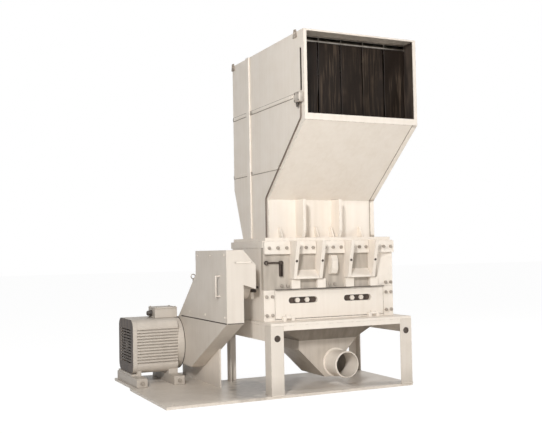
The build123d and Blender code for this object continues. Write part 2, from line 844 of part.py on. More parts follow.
# Lower belt guard: a sheet box with a sloping underside, open at the top
seam_z = axis_z - guard_seam
slope_run = (axis_z + guard_knee - seam_z) * 1.2
tail_y = guard_rear + slope_run
lower_outline = [
    (-guard_front, seam_z),
    (motor_offset - guard_toe, guard_floor),
    (motor_offset + guard_tail - 65, guard_floor),
    (motor_offset + guard_tail, guard_floor + 65),
    (motor_offset + guard_tail, motor_z + drive_radius * 0.85),
    (tail_y, seam_z),
]
lower_inner = inset(lower_outline, guard_sheet)
lower_inner[0] = (lower_inner[1][0] - (lower_inner[1][0] - lower_inner[0][0]), seam_z + 1)
lower_inner[-1] = (lower_inner[-1][0], seam_z + 1)
guard_inside = (guard_left + guard_sheet, guard_right - guard_sheet)
with BuildPart() as lower_belt_guard:
    side_plate(lower_outline, guard_left, guard_right)
    side_plate(lower_inner, *guard_inside, mode=Mode.SUBTRACT)
    opening = (guard_left, guard_left + guard_sheet)
    rod(*opening, motor_offset, motor_z, 2 * motor_shaft_radius, mode=Mode.SUBTRACT)
finish(lower_belt_guard, "lower_belt_guard")

with BuildPart() as guard_support:
    toe_y = motor_offset - guard_toe
    fall = (seam_z - guard_floor) / (toe_y + guard_front)
    foot_front = toe_y - guard_toe
    pedestal = [
        (foot_front, base_thick),
        (motor_offset + guard_tail - 65, base_thick),
        (motor_offset + guard_tail - 65, guard_floor),
        (toe_y, guard_floor),
        (foot_front, guard_floor + fall * (toe_y - foot_front)),
    ]
    side_plate(pedestal, guard_right - 2 * support_thick, guard_right - support_thick)
finish(guard_support, "guard_support")

# Upper belt guard: lifts off; open below, with a slot for the shaft, a hood at its front right
top_z = axis_z + guard_top
knee_z = axis_z + guard_knee
upper_outline = [
    (tail_y, seam_z),
    (guard_rear, knee_z),
    (guard_rear, top_z),
    (-guard_front, top_z),
    (-guard_front, seam_z),
]
upper_inner = inset(upper_outline, guard_sheet)
upper_inner[0] = (upper_inner[0][0], seam_z - 1)
upper_inner[-1] = (upper_inner[-1][0], seam_z - 1)
with BuildPart() as upper_belt_guard:
    side_plate(upper_outline, guard_left, guard_right)
    side_plate(upper_inner, *guard_inside, mode=Mode.SUBTRACT)
    shaft_way = (guard_right - guard_sheet, guard_right)
    block(*shaft_way, -guard_slot, guard_slot, seam_z, axis_z, mode=Mode.SUBTRACT)
    rod(*shaft_way, 0, axis_z, guard_slot, mode=Mode.SUBTRACT)
    hood_bottom = top_z - hood_drop
    hood = [
        (guard_right, top_z),
        (guard_right + hood_reach, top_z - hood_chamfer),
        (guard_right + hood_reach, hood_bottom),
        (guard_right, hood_bottom + hood_slant),
    ]
    front_plate(hood, -guard_front, hood_depth - guard_front)
    hood_inner = [
        (guard_right, top_z - 2 * guard_sheet),
        (guard_right + hood_reach - guard_sheet, top_z - hood_chamfer - guard_sheet),
        (guard_right + hood_reach - guard_sheet, hood_bottom + 2 * guard_sheet),
        (guard_right, hood_bottom + hood_slant + 2 * guard_sheet),
    ]
    front_plate(hood_inner, guard_sheet - guard_front, hood_depth - guard_front, mode=Mode.SUBTRACT)
    handle_x = guard_left - handle_out
    with Locations((handle_x, -handle_front, axis_z)):
        Cylinder(handle_radius, handle_length)
    for z in (axis_z - handle_length / 2 + handle_radius, axis_z + handle_length / 2 - handle_radius):
        rod(handle_x, guard_left, -handle_front, z, handle_radius * 0.9)
    ring_y = guard_rear + ring_radius - guard_sheet / 2
    ring_z = knee_z + ring_radius
    ring_x = (pulley_x - ring_wire, pulley_x + ring_wire)
    rod(*ring_x, ring_y, ring_z, ring_radius)
    rod(*ring_x, ring_y, ring_z, ring_radius - 2 * ring_wire, mode=Mode.SUBTRACT)
finish(upper_belt_guard, "upper_belt_guard")

# Discharge chute under the table: a funnel, then a box with a sloping heel and toe
chute_box_top = chute_floor + chute_box_height
chute_half = chute_box_depth / 2
top_x = (-chute_top_width / 2, chute_top_width / 2)
top_y = (-chute_top_depth / 2, chute_top_depth / 2)
box_x = (-chute_box_left, chute_box_right)


def funnel(skin, lift, mode):
    """Tapered hopper between the table opening and the box, drawn in by a skin thickness."""
    with BuildSketch(Plane.XY.offset(table_under + lift)) as wide:
        with Locations((0, 0)):
            Rectangle(chute_top_width - 2 * skin, chute_top_depth - 2 * skin)
    with BuildSketch(Plane.XY.offset(chute_box_top - lift)) as narrow:
        with Locations((sum(box_x) / 2, 0)):
            Rectangle(box_x[1] - box_x[0] - 2 * skin, chute_box_depth - 2 * skin)
    loft([wide.sketch.face(), narrow.sketch.face()], mode=mode)


box_outline = [
    (box_x[0], chute_box_top),
    (box_x[0], chute_floor + chute_heel),
    (box_x[0] + chute_heel, chute_floor),
    (box_x[1] - chute_toe, chute_floor),
    (box_x[1] - chute_toe, chute_box_top - chute_toe),
    (box_x[1], chute_box_top),
]
box_hollow = inset(box_outline, chute_sheet)
box_hollow[0] = (box_hollow[0][0], chute_box_top + 1)
box_hollow[-1] = (box_hollow[-1][0], chute_box_top + 1)
with BuildPart() as discharge_chute:
    funnel(0, 0, Mode.ADD)
    front_plate(box_outline, -chute_half, chute_half)
    funnel(chute_sheet, 0.01, Mode.SUBTRACT)
    front_plate(box_hollow, chute_sheet - chute_half, chute_half - chute_sheet, mode=Mode.SUBTRACT)
    outlet_z = chute_floor + outlet_radius + 2 * chute_sheet
    with BuildSketch(Plane.XZ.offset(chute_half)):
        with Locations((outlet_right, outlet_z)):
            Circle(outlet_radius - outlet_wall)
    extrude(amount=-2 * chute_sheet, mode=Mode.SUBTRACT)
finish(discharge_chute, "discharge_chute")

with BuildPart() as outlet_pipe:
    with BuildSketch(Plane.XZ.offset(chute_half)):
        with Locations((outlet_right, outlet_z)):
            Circle(outlet_radius)
            Circle(outlet_radius - outlet_wall, mode=Mode.SUBTRACT)
    extrude(amount=outlet_length)
    with BuildSketch(Plane.XZ.offset(chute_half)):
        with Locations((outlet_right, outlet_z)):
            Circle(outlet_radius + outlet_collar)
            Circle(outlet_radius - outlet_wall, mode=Mode.SUBTRACT)
    extrude(amount=outlet_collar_thick)
finish(outlet_pipe, "outlet_pipe")

# Door below the front wall, hinged along its bottom edge, with two slots and clamp plates
slot_z = door_bottom + slot_rise
slot_x = (-slot_spacing / 2, slot_spacing / 2)
door_axis_y = front - door_axis_out
door_axis_z = stand_height + door_axis_rise
hinge_x = (-door_hinge_spacing / 2, door_hinge_spacing / 2)
with BuildPart() as screen_door:
    block(-door_half, door_half, front, front + door_thick, door_bottom, door_top)
    with BuildSketch(Plane.XZ.offset(-front)):
        with Locations(*[(x, slot_z) for x in slot_x]):
            SlotOverall(slot_length, slot_height)
    extrude(amount=-door_thick, mode=Mode.SUBTRACT)
    for x in hinge_x:
        knuckle = (x - door_knuckle_length / 2, x + door_knuckle_length / 2)
        rod(*knuckle, door_axis_y, door_axis_z, door_knuckle_radius)
        block(*knuckle, door_axis_y, front, door_axis_z, door_axis_z + 2 * door_knuckle_radius)
        rod(*knuckle, door_axis_y, door_axis_z, door_pin_radius + running_gap, mode=Mode.SUBTRACT)
finish(screen_door, "screen_door")

with BuildPart() as door_clamp_plates:
    lap = clamp_plate_lap
    plate_y = (front + door_thick, front + door_thick + clamp_plate_thick)
    for x in slot_x:
        plate_x = (x - slot_length / 2 - lap, x + slot_length / 2 + lap)
        block(*plate_x, *plate_y, slot_z - slot_height / 2 - lap, slot_z + slot_height / 2 + lap)
    bolt_spots = [(x + d, slot_z) for x in slot_x for d in (-slot_length / 6, slot_length / 6)]
    hex_heads(Plane.XZ.offset(-front - door_thick), bolt_spots, bolt_across * 1.5, bolt_head)
finish(door_clamp_plates, "door_clamp_plates")

with BuildPart() as door_hinges:
    for x in hinge_x:
        for side in (-1, 1):
            inner = x + side * (door_knuckle_length / 2 + 1)
            span = sorted((inner, inner + side * door_knuckle_length * 0.75))
            rod(*span, door_axis_y, door_axis_z, door_knuckle_radius)
            foot_y = (door_axis_y - door_knuckle_radius, door_axis_y + door_knuckle_radius)
            block(*span, *foot_y, stand_height, door_axis_z)
        pin = door_knuckle_length / 2 + 1 + door_knuckle_length * 0.75
        rod(x - pin, x + pin, door_axis_y, door_axis_z, door_pin_radius)
finish(door_hinges, "door_hinges")

# Clamp lever with an eye at its end, on a pivot at the left of the chamber front
lever_x = bracket_middles[0] - bracket_width / 2 - lever_inset
lever_z = axis_z + lever_rise
lever_y = front - lever_stand_off
with BuildPart() as clamp_lever:
    with BuildSketch(Plane.XZ.offset(-front)):
        with Locations((lever_x, lever_z)):
            Circle(lever_pivot_radius)
    extrude(amount=2 * lever_stand_off)
    bar_left = lever_x - lever_length + lever_eye_radius - lever_radius / 2
    rod(bar_left, lever_x, lever_y, lever_z, lever_radius)
    with BuildSketch(Plane.XZ.offset(-lever_y - lever_radius)):
        with Locations((lever_x - lever_length, lever_z)):
            Circle(lever_eye_radius)
            Circle(lever_eye_radius - lever_radius, mode=Mode.SUBTRACT)
    extrude(amount=2 * lever_radius)
    jaw = lever_pivot_radius / 2
    for x in (lever_x - 1.5 * jaw, lever_x + 0.5 * jaw):
        block(x, x + jaw, front - 2 * lever_stand_off, front, lever_z - lever_jaw, lever_z)
finish(clamp_lever, "clamp_lever")

# Star knob on the left side of the chamber
with BuildPart() as side_knob:
    knob_y = front + wall_thick + knob_front
    knob_z = axis_z - knob_drop
    rod(-half_chamber - knob_stem, -half_chamber, knob_y, knob_z, knob_stem_radius)
    knob_x = (-half_chamber - knob_stem - knob_thick, -half_chamber - knob_stem)
    rod(*knob_x, knob_y, knob_z, knob_radius)
    for i in range(4):
        turn = radians(45 + 90 * i)
        arm = Plane((0, knob_y, knob_z), x_dir=(1, 0, 0), z_dir=(0, cos(turn), sin(turn)))
        with BuildSketch(arm):
            with Locations((sum(knob_x) / 2, 0)):
                Rectangle(knob_thick, knob_stem_radius * 1.6)
        extrude(amount=knob_arm)
finish(side_knob, "side_knob")

# Hopper side panels, cut to the hopper's profile, with a sight slot in the left one
mouth_low = chamber_top + mouth_bottom
hopper_top_z = chamber_top + hopper_height
throat_top = hopper_bottom + throat_height
knee = chamber_top + rear_knee
front_line = [(-mouth_front, mouth_low), (-throat_front, throat_top), (-throat_front, hopper_bottom)]
rear_line = [(throat_rear, hopper_bottom), (hopper_rear, knee), (hopper_rear, hopper_top_z)]
profile = front_line + rear_line + [(-mouth_front, hopper_top_z)]
for name, x0 in (("hopper_left_side", -throat_half - hopper_sheet), ("hopper_right_side", throat_half)):
    with BuildPart() as hopper_side:
        side_plate(profile, x0, x0 + hopper_sheet)
        if name == "hopper_left_side":
            with BuildSketch(Plane.YZ.offset(x0)):
                with Locations((sight_slot_front - mouth_front, hopper_top_z - sight_slot_top - sight_slot_length / 2)):
                    SlotOverall(sight_slot_length, sight_slot_width, rotation=90)
            extrude(amount=hopper_sheet, mode=Mode.SUBTRACT)
    finish(hopper_side, name)

# Hopper front panels: the sloping apron under the mouth and the throat below it
front_inner = inset(front_line, hopper_sheet)
front_inner[0] = (-mouth_front, mouth_low + hopper_sheet * 1.3)
with BuildPart() as hopper_front_panels:
    for (a, b), (c, d) in zip(zip(front_line, front_line[1:]), zip(front_inner, front_inner[1:])):
        side_plate([a, b, d, c], -throat_half, throat_half)
finish(hopper_front_panels, "hopper_front_panels")

# Hopper rear panels: the lower one leans out to the upright one above
rear_inner = inset(rear_line, hopper_sheet)
rear_inner[0] = (rear_inner[0][0], hopper_bottom)
rear_inner[-1] = (rear_inner[-1][0], hopper_top_z)
with BuildPart() as hopper_rear_panels:
    for (a, b), (c, d) in zip(zip(rear_line, rear_line[1:]), zip(rear_inner, rear_inner[1:])):
        side_plate([a, b, d, c], -throat_half, throat_half)
finish(hopper_rear_panels, "hopper_rear_panels")

with BuildPart() as hopper_top:
    top_y = (-mouth_front, hopper_rear - hopper_sheet)
    block(-throat_half, throat_half, *top_y, hopper_top_z - hopper_sheet, hopper_top_z)
finish(hopper_top, "hopper_top")

# Frame of bars around the feed mouth
mouth_half = throat_half + hopper_sheet
with BuildPart() as mouth_frame:
    frame_y = (-mouth_front - frame_thick, -mouth_front)
    block(-mouth_half, mouth_half, *frame_y, mouth_low, mouth_low + frame_bottom)
    block(-mouth_half, mouth_half, *frame_y, hopper_top_z - frame_top, hopper_top_z)
    frame_z = (mouth_low + frame_bottom + seam_gap, hopper_top_z - frame_top - seam_gap)
    block(-mouth_half, frame_side - mouth_half, *frame_y, *frame_z)
    block(mouth_half - frame_side, mouth_half, *frame_y, *frame_z)
finish(mouth_frame, "mouth_frame")

# Flange of bars under the throat, which rests on the chamber's top flange
base_half = mouth_half + hopper_flange_out
base_front = -throat_front - hopper_flange_front
base_back = throat_rear + 2 * hopper_sheet
with BuildPart() as hopper_base_flange:
    block(-base_half, base_half, base_front, feed_front, chamber_top, hopper_bottom)
    block(-base_half, base_half, throat_rear - 2 * hopper_sheet, base_back, chamber_top, hopper_bottom)
    bar_y = (feed_front + seam_gap, throat_rear - 2 * hopper_sheet - seam_gap)
    block(-base_half, -feed_half, *bar_y, chamber_top, hopper_bottom)
    block(feed_half, base_half, *bar_y, chamber_top, hopper_bottom)
    for x in (-tilt_spacing / 2, tilt_spacing / 2):
        ear_x = (x - tilt_lug_thick / 2, x + tilt_lug_thick / 2)
        tilt_z = chamber_top + tilt_axis_rise
        lug_z = (tilt_z - tilt_pin_radius, tilt_z + tilt_pin_radius / 2)
        block(*ear_x, base_back, tilt_axis_rear, *lug_z)
        rod(*ear_x, tilt_axis_rear, tilt_z, tilt_lug_radius - 2)
        rod(*ear_x, tilt_axis_rear, tilt_z, tilt_pin_radius + running_gap, mode=Mode.SUBTRACT)
finish(hopper_base_flange, "hopper_base_flange")

# Brackets and pins at the rear of the chamber flange, on which the hopper tilts back
with BuildPart() as hopper_hinge_brackets:
    for x in (-tilt_spacing / 2, tilt_spacing / 2):
        for side in (-1, 1):
            inner = x + side * (tilt_lug_thick / 2 + 1)
            span = sorted((inner, inner + side * tilt_ear_thick))
            rod(*span, tilt_axis_rear, tilt_z, tilt_lug_radius)
            foot = (flange_rear, tilt_axis_rear + tilt_lug_radius)
            block(*span, *foot, flange_under, tilt_z)
        reach = tilt_lug_thick / 2 + 1 + tilt_ear_thick
        rod(x - reach, x + reach, tilt_axis_rear, tilt_z, tilt_pin_radius)
finish(hopper_hinge_brackets, "hopper_hinge_brackets")

# Upright stiffeners on the hopper sides, and lifting lugs at their top corners
with BuildPart() as hopper_stiffeners:
    stiff_y = (stiffener_rear - stiffener_width / 2, stiffener_rear + stiffener_width / 2)
    stiff_z = (hopper_bottom, hopper_top_z)
    block(-mouth_half - stiffener_reach, -mouth_half, *stiff_y, *stiff_z)
    block(mouth_half, mouth_half + stiffener_reach, *stiff_y, *stiff_z)
    for x0 in (-mouth_half - lug_thick, mouth_half):
        for y in (lug_inset - mouth_front + lug_width / 2, hopper_rear - lug_width / 2):
            lug = [
                (y - lug_width / 2, hopper_top_z - lug_height * 0.7),
                (y + lug_width / 2, hopper_top_z - lug_height * 0.7),
                (y + lug_width / 4, hopper_top_z + lug_height * 0.3),
                (y - lug_width / 4, hopper_top_z + lug_height * 0.3),
            ]
            side_plate(lug, x0, x0 + lug_thick)
            rod(x0, x0 + lug_thick, y, hopper_top_z - lug_hole / 4, lug_hole / 2, mode=Mode.SUBTRACT)
finish(hopper_stiffeners, "hopper_stiffeners")

# Gussets in front of the throat, and small cleats between them on the flange
cleat_spots = (-mouth_half * 0.81, -mouth_half * 0.15, mouth_half * 0.13, mouth_half * 0.69)
with BuildPart() as throat_gussets:
    for x in (-gusset_left, gusset_right):
        gusset = [
            (-throat_front, hopper_bottom),
            (gusset_thick - throat_front - gusset_reach, hopper_bottom),
            (-throat_front - gusset_reach, hopper_bottom + 2 * gusset_thick),
            (-throat_front - gusset_reach, throat_top),
            (-throat_front, throat_top),
        ]
        side_plate(gusset, x - gusset_thick / 2, x + gusset_thick / 2)
    for x in cleat_spots:
        cleat = [
            (-throat_front, hopper_bottom),
            (-throat_front - cleat_reach, hopper_bottom),
            (-throat_front - cleat_reach / 3, hopper_bottom + cleat_height),
            (-throat_front, hopper_bottom + cleat_height),
        ]
        side_plate(cleat, x - cleat_thick / 2, x + cleat_thick / 2)
finish(throat_gussets, "throat_gussets")

# Interlock switch on the left panel, with its conduit down the front edge to the flange
switch_z = mouth_low + switch_lift
switch_y = (-switch_front, switch_width - switch_front)
with BuildPart() as interlock_switch:
    block(-mouth_half - switch_depth, -mouth_half, *switch_y, switch_z, switch_z + switch_height)
finish(interlock_switch, "interlock_switch")

with BuildPart() as switch_conduit:
    conduit_x = -mouth_half - conduit_radius - seat_gap
    edge = inset(front_line, conduit_inset)
    path_points = [
        (conduit_x, edge[0][0] + conduit_inset, switch_z),
        (conduit_x, edge[0][0] + conduit_inset, edge[0][1]),
        (conduit_x, *edge[1]),
        (conduit_x, edge[2][0], hopper_bottom),
    ]
    with BuildLine() as route:
        FilletPolyline(*path_points, radius=6 * conduit_radius)
    with BuildSketch(Plane(route.line @ 0, x_dir=(1, 0, 0), z_dir=route.line % 0)):
        Circle(conduit_radius)
    sweep(path=route.line)
finish(switch_conduit, "switch_conduit")

# Curtain rail under the hopper top, with a rod on hangers between the strips
curtain_y = curtain_inset - mouth_front
rod_z = hopper_top_z - hopper_sheet - curtain_drop
strip_pitch = 2 * throat_half / strip_count
with BuildPart() as curtain_rail:
    rail_low = rod_z + curtain_rod_radius + 3 * curtain_loop
    rail_depth = (curtain_y - curtain_rail_width / 2, curtain_y + curtain_rail_width / 2)
    block(-throat_half, throat_half, *rail_depth, rail_low, hopper_top_z - hopper_sheet)
    rod(-throat_half, throat_half, curtain_y, rod_z, curtain_rod_radius)
    for i in range(strip_count + 1):
        x = i * strip_pitch - throat_half
        x0 = min(max(x - hanger_thick / 2, -throat_half), throat_half - hanger_thick)
        block(x0, x0 + hanger_thick, *rail_depth, rod_z - curtain_rod_radius, rail_low)
finish(curtain_rail, "curtain_rail")

# Curtain strips, each looped over the rod and free to swing
loop_radius = curtain_rod_radius + seat_gap + curtain_loop
for i in range(strip_count):
    middle = (i + 0.5) * strip_pitch - throat_half
    half = (strip_pitch - strip_gap) / 2 - hanger_thick / 2
    strip_x = (middle - half, middle + half)
    with BuildPart() as curtain_strip:
        sheet_y = (curtain_y - curtain_thick / 2, curtain_y + curtain_thick / 2)
        block(*strip_x, *sheet_y, rod_z - curtain_length, rod_z)
        rod(*strip_x, curtain_y, rod_z, loop_radius)
        rod(*strip_x, curtain_y, rod_z, curtain_rod_radius + seat_gap, mode=Mode.SUBTRACT)
    finish(curtain_strip, f"curtain_strip_{i + 1}")
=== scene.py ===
from math import cos, pi, radians, sin

import bpy
import numpy as np
from mathutils import Matrix, Vector


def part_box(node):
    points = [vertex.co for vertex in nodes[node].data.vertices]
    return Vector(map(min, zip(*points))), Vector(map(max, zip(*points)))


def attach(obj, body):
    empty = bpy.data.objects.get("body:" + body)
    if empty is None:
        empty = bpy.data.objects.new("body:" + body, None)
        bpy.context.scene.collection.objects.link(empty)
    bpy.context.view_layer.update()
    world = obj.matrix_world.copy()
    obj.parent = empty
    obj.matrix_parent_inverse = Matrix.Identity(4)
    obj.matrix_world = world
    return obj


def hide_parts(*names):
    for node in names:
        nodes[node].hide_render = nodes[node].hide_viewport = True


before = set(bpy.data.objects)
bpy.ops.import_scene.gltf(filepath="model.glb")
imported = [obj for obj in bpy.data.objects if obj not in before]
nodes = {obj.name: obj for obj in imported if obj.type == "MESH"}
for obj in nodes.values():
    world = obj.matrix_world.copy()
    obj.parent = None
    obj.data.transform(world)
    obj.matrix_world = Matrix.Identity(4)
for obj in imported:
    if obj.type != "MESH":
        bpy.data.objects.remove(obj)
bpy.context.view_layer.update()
scene = bpy.context.scene
scene.view_settings.view_transform = "Standard"

MM = 0.001


def linear(hex_colour):
    """sRGB hex text to linear RGBA: c/12.92 below 0.04045, else ((c + 0.055) / 1.055) ** 2.4."""
    srgb = np.array([int(hex_colour[i:i + 2], 16) for i in (1, 3, 5)]) / 255
    rgb = np.where(srgb <= 0.04045, srgb / 12.92, ((srgb + 0.055) / 1.055) ** 2.4)
    return (*rgb.tolist(), 1.0)


def add(tree, kind, inputs=(), output=None, **settings):
    """One node with its settings. Its inputs are given by name or in their order: a socket among them is
    linked, anything else is set. Gives the output that is asked for, or else the node."""
    node = tree.nodes.new(kind)
    for key, value in settings.items():
        setattr(node, key, value)
    for key, value in inputs.items() if isinstance(inputs, dict) else enumerate(inputs):
        if isinstance(value, bpy.types.NodeSocket):
            tree.links.new(value, node.inputs[key])
        else:
            node.inputs[key].default_value = value
    return node if output is None else node.outputs[output]


def new_material(name):
    """A named material with an empty node tree."""
    material = bpy.data.materials.new(name)
    material.use_nodes = True
    material.node_tree.nodes.clear()
    return material, material.node_tree


def blotches(tree, place, size, detail=3.0, stretch=(1, 1, 1)):
    """Cloudy pattern of blotches of about the given size in metres, drawn out along an axis by the stretch."""
    scale = tuple(1 / (size * s) for s in stretch)
    spread = add(tree, "ShaderNodeMapping", {"Vector": place, "Scale": scale}, 0)
    return add(tree, "ShaderNodeTexNoise", {"Vector": spread, "Scale": 1.0, "Detail": detail}, "Fac")


# Masks, for pieces with a second finish or with painted shade

FACING_COSINE = 0.35
# Bounds of the painted shade on the chamber wall above the door, for the front brackets' shadows
PAINTED_SHADE_ABOVE, PAINTED_SHADE_LEFT_OF = 0.787, 0.43
# Place, turn and half sizes of the oval of painted shade on the base plate, under the stand
SHADE_OVAL_MIDDLE, SHADE_OVAL_TURN, SHADE_OVAL_REACH = (-0.59, -0.05, 0.02), radians(66), (0.45, 0.15, 1)
# Above this height the chute gets a painted shadow of the table
TABLE_SHADOW_LEVEL = 0.38
CLAMP_FRONT = -0.2756
STIFFENER_MIDDLE, LUG_REACH = 0.14, 0.035


def facing(*direction):
    """Mask of the faces that look the given way, where the piece's own normal lies along it."""
    def mask(tree, coordinates):
        along = add(tree, "ShaderNodeVectorMath", (coordinates.outputs["Normal"], direction), "Value",
                    operation="DOT_PRODUCT")
        return add(tree, "ShaderNodeMath", (along, FACING_COSINE), 0, operation="GREATER_THAN")
    return mask


def beyond(axis, level):
    """Mask of what lies past a level along X, Y or Z."""
    def mask(tree, coordinates):
        along = add(tree, "ShaderNodeSeparateXYZ", (coordinates.outputs["Object"],), axis)
        return add(tree, "ShaderNodeMath", (along, level), 0, operation="GREATER_THAN")
    return mask


def away_from(axis, middle, reach):
    """Mask of what lies further than a reach from a middle along X, Y or Z."""
    def mask(tree, coordinates):
        along = add(tree, "ShaderNodeSeparateXYZ", (coordinates.outputs["Object"],), axis)
        offset = add(tree, "ShaderNodeMath", (along, middle), 0, operation="SUBTRACT")
        distance = add(tree, "ShaderNodeMath", (offset,), 0, operation="ABSOLUTE")
        return add(tree, "ShaderNodeMath", (distance, reach), 0, operation="GREATER_THAN")
    return mask


def wall_painted_shade_mask(tree, coordinates):
    """Mask of the chamber's front wall above the door and left of its end plate: painted shade standing in for
    the front brackets' shadows.
    """
    apart = add(tree, "ShaderNodeSeparateXYZ", (coordinates.outputs["Object"],))
    above = add(tree, "ShaderNodeMath", (apart.outputs["Z"], PAINTED_SHADE_ABOVE), 0, operation="GREATER_THAN")
    left = add(tree, "ShaderNodeMath", (apart.outputs["X"], PAINTED_SHADE_LEFT_OF), 0, operation="LESS_THAN")
    return add(tree, "ShaderNodeMath", (above, left), 0, operation="MULTIPLY")


def plate_painted_shade_mask(tree, coordinates):
    """Mask of an oval of painted shade on the base plate between the drive and the stand, 0.9 m long and
    0.3 m wide, standing in for the shade under the stand: the distance from its middle in half lengths
    and half widths, made ragged by blotches of 90 mm."""
    place = coordinates.outputs["Object"]
    oval = add(tree, "ShaderNodeMapping", {"Vector": place, "Location": SHADE_OVAL_MIDDLE,
                                           "Rotation": (0, 0, SHADE_OVAL_TURN), "Scale": SHADE_OVAL_REACH}, 0,
               vector_type="TEXTURE")
    away = add(tree, "ShaderNodeVectorMath", (oval,), "Value", operation="LENGTH")
    ragged = add(tree, "ShaderNodeMath", (away, blotches(tree, place, 0.09, 4.0)), 0, operation="ADD")
    return add(tree, "ShaderNodeMapRange", (ragged, 1.65, 1.2, 0.0, 0.9), 0)


# Materials

def enamel(name, colour, aged, grime="#8F8478", gloss=0.4, mottle=0.4, dust=0.25, shine=0.5,
           mask=None, other="#2B231E", other_patchy="#54483E", other_rough=0.6):
    """Air-dried alkyd enamel on sheet steel: a satin skin that yellows in soft patches about 140 mm
    across and runs in faint upright streaks 30 mm apart. Dust greys what faces up, dirt rises 150 mm from
    the floor, and the paint is rubbed thin along the edges. The orange peel of about 2 mm is too fine to
    show, so it is drawn 8 mm wide. A mask gives the faces with a second finish, such as a lining, or
    with painted shade: a darker tone in place of a shadow."""
    material, tree = new_material(name)
    coordinates = add(tree, "ShaderNodeTexCoord")
    place = coordinates.outputs["Object"]
    patches = blotches(tree, place, 0.14, 5.0)
    streaks = blotches(tree, place, 0.03, 3.0, (1, 1, 25))
    yellowed = add(tree, "ShaderNodeMath", (patches, streaks), 0, operation="MULTIPLY")
    age = add(tree, "ShaderNodeMapRange", (yellowed, 0.14, 0.42, 0.0, mottle), 0)
    tone = add(tree, "ShaderNodeMix", {"Factor": age, "A": linear(colour), "B": linear(aged)}, "Result",
               data_type="RGBA")

    up = add(tree, "ShaderNodeSeparateXYZ", (coordinates.outputs["Normal"],), "Z")
    level = add(tree, "ShaderNodeMapRange", (up, 0.6, 1.0, 0.0, dust), 0)
    uneven = add(tree, "ShaderNodeMapRange", (patches, 0.3, 0.6, 0.5, 1.0), 0)
    settled = add(tree, "ShaderNodeMath", (level, uneven), 0, operation="MULTIPLY")
    tone = add(tree, "ShaderNodeMix", {"Factor": settled, "A": tone, "B": linear(grime)}, "Result",
               data_type="RGBA")

    height = add(tree, "ShaderNodeSeparateXYZ", (place,), "Z")
    ragged = add(tree, "ShaderNodeMath", (patches, 0.14, height), 0, operation="MULTIPLY_ADD")
    splashed = add(tree, "ShaderNodeMapRange", (ragged, 0.07, 0.24, 0.4, 0.0), 0)
    tone = add(tree, "ShaderNodeMix", {"Factor": splashed, "A": tone, "B": linear(grime)}, "Result",
               data_type="RGBA")

    rounded = add(tree, "ShaderNodeBevel", {"Radius": 0.005}, 0, samples=4)
    sharp = add(tree, "ShaderNodeNewGeometry", (), "True Normal")
    turn = add(tree, "ShaderNodeVectorMath", (rounded, sharp), "Value", operation="DOT_PRODUCT")
    edges = add(tree, "ShaderNodeMapRange", (turn, 0.99, 0.85, 0.0, 0.7), 0)
    chafed = add(tree, "ShaderNodeMapRange", (blotches(tree, place, 0.03, 4.0), 0.42, 0.6), 0)
    rubbed = add(tree, "ShaderNodeMath", (edges, chafed), 0, operation="MULTIPLY")
    tone = add(tree, "ShaderNodeMix", {"Factor": rubbed, "A": tone, "B": linear("#9B9084")}, "Result",
               data_type="RGBA")

    rough = add(tree, "ShaderNodeMapRange", (patches, 0.3, 0.7, gloss, gloss + 0.14), 0)
    # The second finish is a real lining, lug or plate colour on some pieces, and painted shade standing in for
    # a shadow on others; its tone varies in patches
    if mask:
        second = mask(tree, coordinates)
        scuffed = add(tree, "ShaderNodeMapRange", (blotches(tree, place, 0.045, 5.0, (1, 1, 6)), 0.4, 0.7), 0)
        lining_and_painted_shade = add(tree, "ShaderNodeMix", {"Factor": scuffed, "A": linear(other), "B": linear(other_patchy)},
                     "Result", data_type="RGBA")
        tone = add(tree, "ShaderNodeMix", {"Factor": second, "A": tone, "B": lining_and_painted_shade}, "Result",
                   data_type="RGBA")
        rough = add(tree, "ShaderNodeMix", {"Factor": second, "A": rough, "B": other_rough}, "Result")
    bump = add(tree, "ShaderNodeBump", {"Height": blotches(tree, place, 0.008, 2.0), "Strength": 0.06,
                                        "Distance": 0.002}, 0)
    shader = add(tree, "ShaderNodeBsdfPrincipled", {"Base Color": tone, "Roughness": rough, "IOR": 1.5,
                                                    "Specular IOR Level": shine, "Normal": bump}, 0)
    add(tree, "ShaderNodeOutputMaterial", {"Surface": shader})
    return material


def bare_metal(name, colour, stained, roughness, metallic=1.0):
    """Turned, milled or cast metal: tool marks about 1 mm apart, drawn 4 mm apart so that they show, under
    cloudy oil stains about 60 mm across."""
    material, tree = new_material(name)
    place = add(tree, "ShaderNodeTexCoord", (), "Object")
    marks = blotches(tree, place, 0.004, 3.0, (30, 1, 1))
    stains = add(tree, "ShaderNodeMapRange", (blotches(tree, place, 0.06, 4.0), 0.35, 0.7), 0)
    tone = add(tree, "ShaderNodeMix", {"Factor": stains, "A": linear(colour), "B": linear(stained)}, "Result",
               data_type="RGBA")
    rough = add(tree, "ShaderNodeMapRange", (marks, 0.2, 0.8, roughness, roughness + 0.2), 0)
    bump = add(tree, "ShaderNodeBump", {"Height": marks, "Strength": 0.12, "Distance": 0.001}, 0)
    shader = add(tree, "ShaderNodeBsdfPrincipled", {"Base Color": tone, "Metallic": metallic,
                                                    "Roughness": rough, "Normal": bump}, 0)
    add(tree, "ShaderNodeOutputMaterial", {"Surface": shader})
    return material


